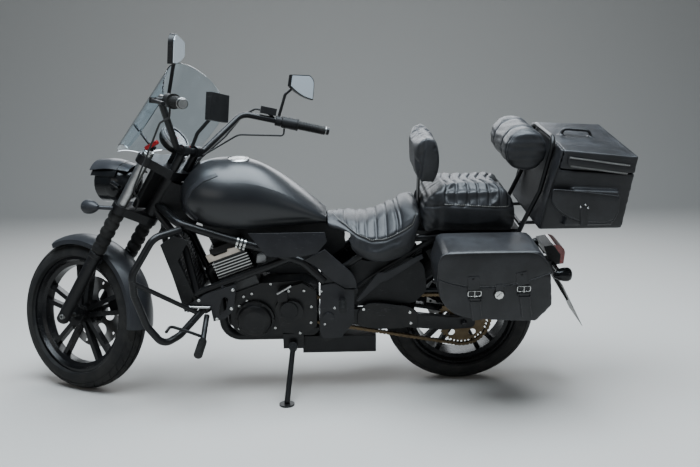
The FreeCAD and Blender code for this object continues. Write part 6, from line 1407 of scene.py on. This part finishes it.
def bolted(name, nodes, spots, shape):
    """Bright fasteners on both sides, standing on the surface at each (x, z)."""
    trees = [surface_of(NODES[node]) for node in nodes]
    places = []
    for sign in (-1, 1):
        facing = outside(sign)
        found = [side_hit(trees, x, z, sign) for x, z in spots]
        places += [(hit[0], facing, REARWARD) for hit in found if hit and hit[1].dot(facing) > 0.8]
    scattered(name, shape, places, "bright")


ENGINE_BOLTS = [(-0.847, 0.452), (-0.868, 0.422), (-0.771, 0.493), (-0.760, 0.300), (-0.700, 0.470),
                (-0.640, 0.470), (-0.612, 0.400), (-0.615, 0.330), (-0.660, 0.285), (-0.900, 0.400),
                (-0.905, 0.300), (-0.880, 0.440)]
bolted("engine_bolts", ["engine_covers", "engine_block"], ENGINE_BOLTS, socket_head(0.0056, 0.0052))
bolted("cover_screws", ["side_covers"], [(-0.627, 0.486), (-0.572, 0.473), (-0.520, 0.400), (-0.560, 0.330)],
       socket_head(0.0052, 0.0040))
bolted("cowl_screws", ["lower_cowls"], [(-1.050, 0.448), (-0.915, 0.490), (-0.925, 0.410), (-0.985, 0.366)],
       hex_head(0.0050, 0.0040))


def mirrored_pair(name, make, paint, body="chassis", smooth_angle=35.0):
    """The meshes of make(sign) on both sides as one piece."""
    meshes = [mesh for sign in (-1, 1) for mesh in make(sign)]
    return dressed(name, joined(name, meshes), paint, body, smooth_angle)


def plate_on(outline, y, thick, sign, bevel=0.001):
    """A flat plate of an outline of (x, z), standing out from y."""
    place = CHASSIS @ Matrix(((1, 0, 0, 0), (0, 0, sign, sign * y), (0, 1, 0, 0), (0, 0, 0, 1)))
    return outward(slab("plate", outline, thick, place, bevel))


def flat_pair(name, outline, y, thick, paint, bevel=0.001):
    """The same flat plate on both sides as one piece."""
    mirrored_pair(name, lambda sign: [plate_on(outline, y, thick, sign, bevel)], paint)


HEAD_STRIP = [(-1.019, 0.617), (-0.997, 0.624), (-0.984, 0.614), (-0.934, 0.632), (-0.933, 0.644),
              (-0.897, 0.653), (-0.880, 0.634), (-1.006, 0.587)]
COIL = [(-0.824, 0.580), (-0.784, 0.584), (-0.786, 0.620), (-0.818, 0.616)]
flat_pair("head_strip", HEAD_STRIP, 0.1196, 0.0030, "champagne")
flat_pair("ignition_coil", COIL, 0.098, 0.022, "silver_plastic", 0.003)


def along_z(point, direction):
    """The place of a turned piece that starts at a point and runs in a direction."""
    return Matrix.Translation(point) @ direction.to_track_quat("Z", "Y").to_matrix().to_4x4()


def hose_clamps(sign):
    """Three ringed bands and their screws round the upper frame tube."""
    a, b = Vector((-0.890, sign * 0.140, 0.682)), Vector((-0.785, sign * 0.140, 0.648))
    band = [(0.0172, -0.0045), (0.0196, -0.0042), (0.0196, 0.0042), (0.0172, 0.0045)]
    screw = [(0, -0.008), (0.0042, -0.008), (0.0042, 0.008), (0, 0.008)]
    made = []
    for share in (0.02, 0.15, 0.28):
        place = CHASSIS @ along_z(a.lerp(b, share), b - a)
        beside = place @ Matrix.Translation((0, sign * 0.0215, 0)) @ spin(90, "Y")
        made += [turned_mesh("band", band, 28, place), turned_mesh("screw", screw, 8, beside)]
    return made


mirrored_pair("hose_clamps", hose_clamps, "bright")


def rod_pair(name, first, last, radius, paint="steel", body="chassis", frame=CHASSIS, sides=14):
    """The same straight rod between two points of a frame, on both sides, as one piece."""
    def rod(sign):
        """The rod on one side, with chamfered ends."""
        a, b = [frame @ Vector((x, sign * y, z)) for x, y, z in (first, last)]
        length, chamfer = (b - a).length, radius * 0.14
        profile = [(0, 0), (radius * 0.86, 0), (radius, chamfer), (radius, length - chamfer),
                   (radius * 0.86, length), (0, length)]
        return [turned_mesh("rod", profile, sides, along_z(a, b - a))]

    mirrored_pair(name, rod, paint, body)


rod_pair("cover_bars", (-0.745, 0.160, 0.466), (-0.688, 0.160, 0.500), 0.0042)
rod_pair("shift_rods", (-1.090, 0.176, 0.425), (-1.006, 0.176, 0.421), 0.0050)
PLUG = [(-0.700 + 0.036 * math.cos(math.tau * step / 28), 0.392 + 0.036 * math.sin(math.tau * step / 28))
        for step in range(28)]
flat_pair("oil_plugs", PLUG, 0.156, 0.004, "plastic", 0.0015)


def ribbed_pegs(sign):
    """Rubber rings along the rider's and the passenger's pegs."""
    made = []
    for x, z, first, last, radius in ((-1.030, 0.318, 0.262, 0.364, 0.0140),
                                      (-0.489, 0.435, 0.190, 0.250, 0.0120)):
        ring = [(radius, -0.0026), (radius + 0.0028, -0.0016), (radius + 0.0028, 0.0016), (radius, 0.0026)]
        count = int((last - first) / 0.009)
        for number in range(count + 1):
            y = first + (last - first) * number / count
            place = CHASSIS @ Matrix.Translation((x, sign * y, z)) @ spin(90, "X")
            made.append(turned_mesh("ring", ring, 16, place))
    return made


mirrored_pair("peg_ribs", ribbed_pegs, "rubber")

# Panels over the chain and behind the side covers

GUARD_Y = 0.1355
GUARD_THICK = 0.0040
GUARD = [(-0.430, 0.312), (-0.430, 0.366), (-0.416, 0.393), (-0.390, 0.407), (-0.350, 0.411),
         (-0.236, 0.394), (-0.202, 0.381), (-0.187, 0.362), (-0.187, 0.310), (-0.255, 0.296),
         (-0.352, 0.294)]
GUARD_BOLTS = [(-0.405, 0.385), (-0.220, 0.368), (-0.215, 0.320)]
PEG_BRACKET = [(-0.352, 0.546), (-0.319, 0.548), (-0.180, 0.622), (-0.172, 0.606), (-0.314, 0.512),
               (-0.332, 0.508), (-0.424, 0.424), (-0.436, 0.430)]
INNER_PANEL = [(-0.452, 0.606), (-0.395, 0.582), (-0.300, 0.578), (-0.205, 0.598), (-0.165, 0.560),
               (-0.150, 0.450), (-0.200, 0.396), (-0.445, 0.386), (-0.470, 0.480)]
GUSSET = [(-1.222, 0.768), (-1.152, 0.893), (-1.085, 0.862), (-1.078, 0.800), (-1.098, 0.742),
          (-1.160, 0.722)]
INTAKE = [(-1.040, 0.730), (-0.985, 0.600), (-0.930, 0.520), (-0.600, 0.500), (-0.560, 0.560),
          (-0.470, 0.620), (-0.480, 0.688), (-0.548, 0.720), (-0.760, 0.732)]

guard = plate_on(rounded_outline(GUARD, 0.010, 3), GUARD_Y, GUARD_THICK, -1, 0.0016)
dressed("chain_guard", guard, "engine", "chassis")
bolt = turned_mesh("bolt", [(0, -0.0005), (0.0062, -0.0005), (0.0062, 0.004), (0, 0.0046)], 6)
scattered("chain_guard_bolts", bolt, [(local(x, -GUARD_Y - GUARD_THICK, z), outside(-1), REARWARD)
                                      for x, z in GUARD_BOLTS], "bright")
flat_pair("peg_brackets", PEG_BRACKET, 0.150, 0.006, "cover", 0.002)
flat_pair("inner_panels", rounded_outline(INNER_PANEL, 0.02, 3), 0.112, 0.003, "plastic")
flat_pair("gusset_plates", rounded_outline(GUSSET, 0.012, 3), 0.020, 0.004, "plastic")
flat_pair("intake_covers", rounded_outline(INTAKE, 0.02, 3), 0.045, 0.004, "plastic")


# Covers with rolled rims

def rolled(node, paint, width):
    """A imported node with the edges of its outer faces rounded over."""
    mesh = merged_copy(node)
    across = outside(1)
    middle = CHASSIS.translation.dot(across)

    def faces_out(face):
        """Whether a face is turned away from the middle plane."""
        side = 1 if face.calc_center_median().dot(across) > middle else -1
        return face.normal.dot(across) * side > 0.85

    with edited(mesh) as shell:
        rim = [edge for edge in shell.edges
               if len(edge.link_faces) == 2 and sum(faces_out(face) for face in edge.link_faces) == 1
               and edge.calc_face_angle(0) > math.radians(35)]
        bmesh.ops.bevel(shell, geom=rim, offset=width, segments=4, profile=0.5, affect="EDGES",
                        clamp_overlap=True)
    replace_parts(dressed(f"rolled_{node}", mesh, paint, "chassis", 40), node)


rolled("side_covers", "cover", 0.011)
rolled("lower_cowls", "cover", 0.005)
rolled("swingarm", "frame", 0.006)

# Front end

FORK_TUBE = (-0.0093, 0.0983)


def in_forks(name, height, profile, steps, smooth_angle=35.0):
    """A bright turned piece in the top of each fork tube."""
    x, y = FORK_TUBE
    mirrored_pair(name, lambda sign: [turned_mesh(name, profile, steps, FORK @ Matrix.Translation(
        (x, sign * y, height)))], "bright", "steering", smooth_angle)


in_forks("fork_caps", 0.7855, [(0, 0), (0.0200, 0), (0.0200, 0.0035), (0.0185, 0.0050), (0, 0.0050)], 26)
in_forks("fork_cap_hexes", 0.7905, [(0.0070, 0), (0.0125, 0), (0.0120, 0.0055), (0.0085, 0.0055),
                                    (0.0070, 0)], 6, 20)
# A red anodised sleeve where each of the screen's stays is clamped
rod_pair("clamp_sleeves", (-1.186, 0.108, 1.004), (-1.130, 0.108, 1.030), 0.0085, "red", "steering",
         STEERING, 16)
# The black cover over the wiring between the fork tubes
LOOM = [(0.004, -0.062), (0.026, -0.062), (0.026, 0.062), (0.004, 0.062)]
loom = slab("loom_cover", rounded_outline(LOOM, 0.006, 3), 0.178,
            FORK @ Matrix.Translation((0, 0, 0.552)), 0.002)
dressed("loom_cover", outward(loom), "plastic", "steering")


def lamp_cowl():
    """A cowl over the top of the headlamp, drawn to a lip in front. Its paler grey paint is a painted sheen
    of the sky on the black lamp's top.
    """
    centre = Vector((-1.392, 0, 0.868))
    rings, around = 14, 26
    points = []
    for layer in (0.0026, 0.0):
        for ring in range(rings + 1):
            share = ring / rings
            x = -0.101 + 0.176 * share
            radius = 0.0895 + 0.004 * math.sin(math.pi * min(1, share * 1.3))
            radius -= 0.050 * max(0.0, share - 0.45) ** 1.6
            spread = math.radians(62 - 10 * share)
            for step in range(around + 1):
                angle = -spread + 2 * spread * step / around
                lip = -0.010 * math.cos(angle) ** 2 * (1 - share)
                points.append(STEERING @ (centre + Vector((x + lip, (radius + layer) * math.sin(angle),
                                                           (radius + layer) * math.cos(angle)))))
    # The paler fender grey on this cowl is painted sky sheen on the top of the black headlamp.
    dressed("lamp_cowl", closed_grid("lamp_cowl", points, around + 1, rings), "fender", "steering", 40)


lamp_cowl()

# The instrument pod: its centre in the steering frame, and its depth
GAUGE_CENTRE = (-1.150, 0, 1.040)
GAUGE_DEPTH = 0.050


def gauge():
    """Bezel, dial, tick marks and needle on the pod's face."""
    place = STEERING @ Matrix.Translation(GAUGE_CENTRE) @ spin(48, "Y")
    top = GAUGE_DEPTH / 2
    bezel = turned_mesh("bezel", [(0.0500, top - 0.001), (0.0592, top - 0.004), (0.0600, top - 0.010),
                                  (0.0588, top - 0.016), (0.0580, top - 0.010), (0.0560, top + 0.0026),
                                  (0.0520, top + 0.0030)], 48, place)
    dressed("gauge_bezel", bezel, "silver_plastic", "steering", 40)
    dial = turned_mesh("dial", [(0, top - 0.0018), (0.0512, top - 0.0018), (0.0512, top - 0.0010),
                                (0, top - 0.0010)], 48, place)
    dressed("gauge_dial", dial, "dial", "steering")
    marks = []
    for number in range(41):
        inner, outer = (0.039 if number % 5 == 0 else 0.042), 0.046
        turn = place @ spin(-130 + 260 * number / 40, "Z")
        marks.append(slab("mark", [(inner, -0.0004), (outer, -0.0004), (outer, 0.0004), (inner, 0.0004)],
                          0.0003, turn @ Matrix.Translation((0, 0, top - 0.0009))))
    needle = slab("needle", [(-0.008, -0.0016), (0.036, -0.0004), (0.036, 0.0004), (-0.008, 0.0016)],
                  0.0008, place @ spin(-128, "Z") @ Matrix.Translation((0, 0, top)))
    dressed("gauge_marks", outward(joined("marks", marks)), "plate", "steering")
    dressed("gauge_needle", outward(needle), "red", "steering")


gauge()

TANK_EDGE = [(-0.955, 0.938), (-1.010, 0.918), (-1.052, 0.888), (-1.076, 0.850), (-1.080, 0.815),
             (-1.066, 0.785), (-1.040, 0.765)]


def tank_edge():
    """A dull edging strip laid round the front of the tank on each side."""
    tree = surface_of(NODES["fuel_tank"])
    half, lift = 0.011, 0.0022
    section = ((-1.0, -0.001), (-0.8, lift), (0.8, lift), (1.0, -0.001))
    made = []
    for sign in (-1, 1):
        found = [side_hit([tree], x, z, sign) for x, z in dense(TANK_EDGE)]
        line = [hit for hit in found if hit]
        points = []
        for index, (spot, normal) in enumerate(line):
            before, after = line[max(0, index - 1)][0], line[min(len(line) - 1, index + 1)][0]
            across = normal.cross((after - before).normalized()).normalized()
            points += [spot + across * part * half + normal * height for part, height in section]
        made.append(closed_bar("tank_edge", points, len(section)))
    dressed("tank_edge", joined("tank_edge", made), "fender", "chassis", 40)


tank_edge()

BAR_END = (-0.727, 0.470, 1.130)
BAR_KNEE = (-1.005, 0.252, 1.176)


def round_bar(sign, reach, profile, steps):
    """A turned piece round one side of the handlebar, at a reach inward from its end."""
    end, knee = [Vector((x, sign * y, z)) for x, y, z in (BAR_END, BAR_KNEE)]
    inward = (knee - end).normalized()
    return turned_mesh("ring", profile, steps, STEERING @ along_z(end + inward * reach, inward))


def bar_trim(sign):
    """Bright rings at a grip's inner and outer ends."""
    made = []
    for reach, radius, deep in ((-0.0095, 0.0150, 0.0030), (0.0020, 0.0182, 0.0050)):
        profile = [(0, 0), (radius * 0.92, 0), (radius, deep * 0.3), (radius, deep), (0, deep)]
        made.append(round_bar(sign, reach, profile, 28))
    return made


def grip_ribs(sign):
    """Fine ribs round a grip."""
    rib = [(0.0168, -0.0022), (0.0186, -0.0012), (0.0186, 0.0012), (0.0168, 0.0022)]
    return [round_bar(sign, 0.012 + number * 0.0064, rib, 20) for number in range(17)]


mirrored_pair("bar_end_rings", bar_trim, "steel", "steering")
mirrored_pair("grip_ribs", grip_ribs, "rubber", "steering")
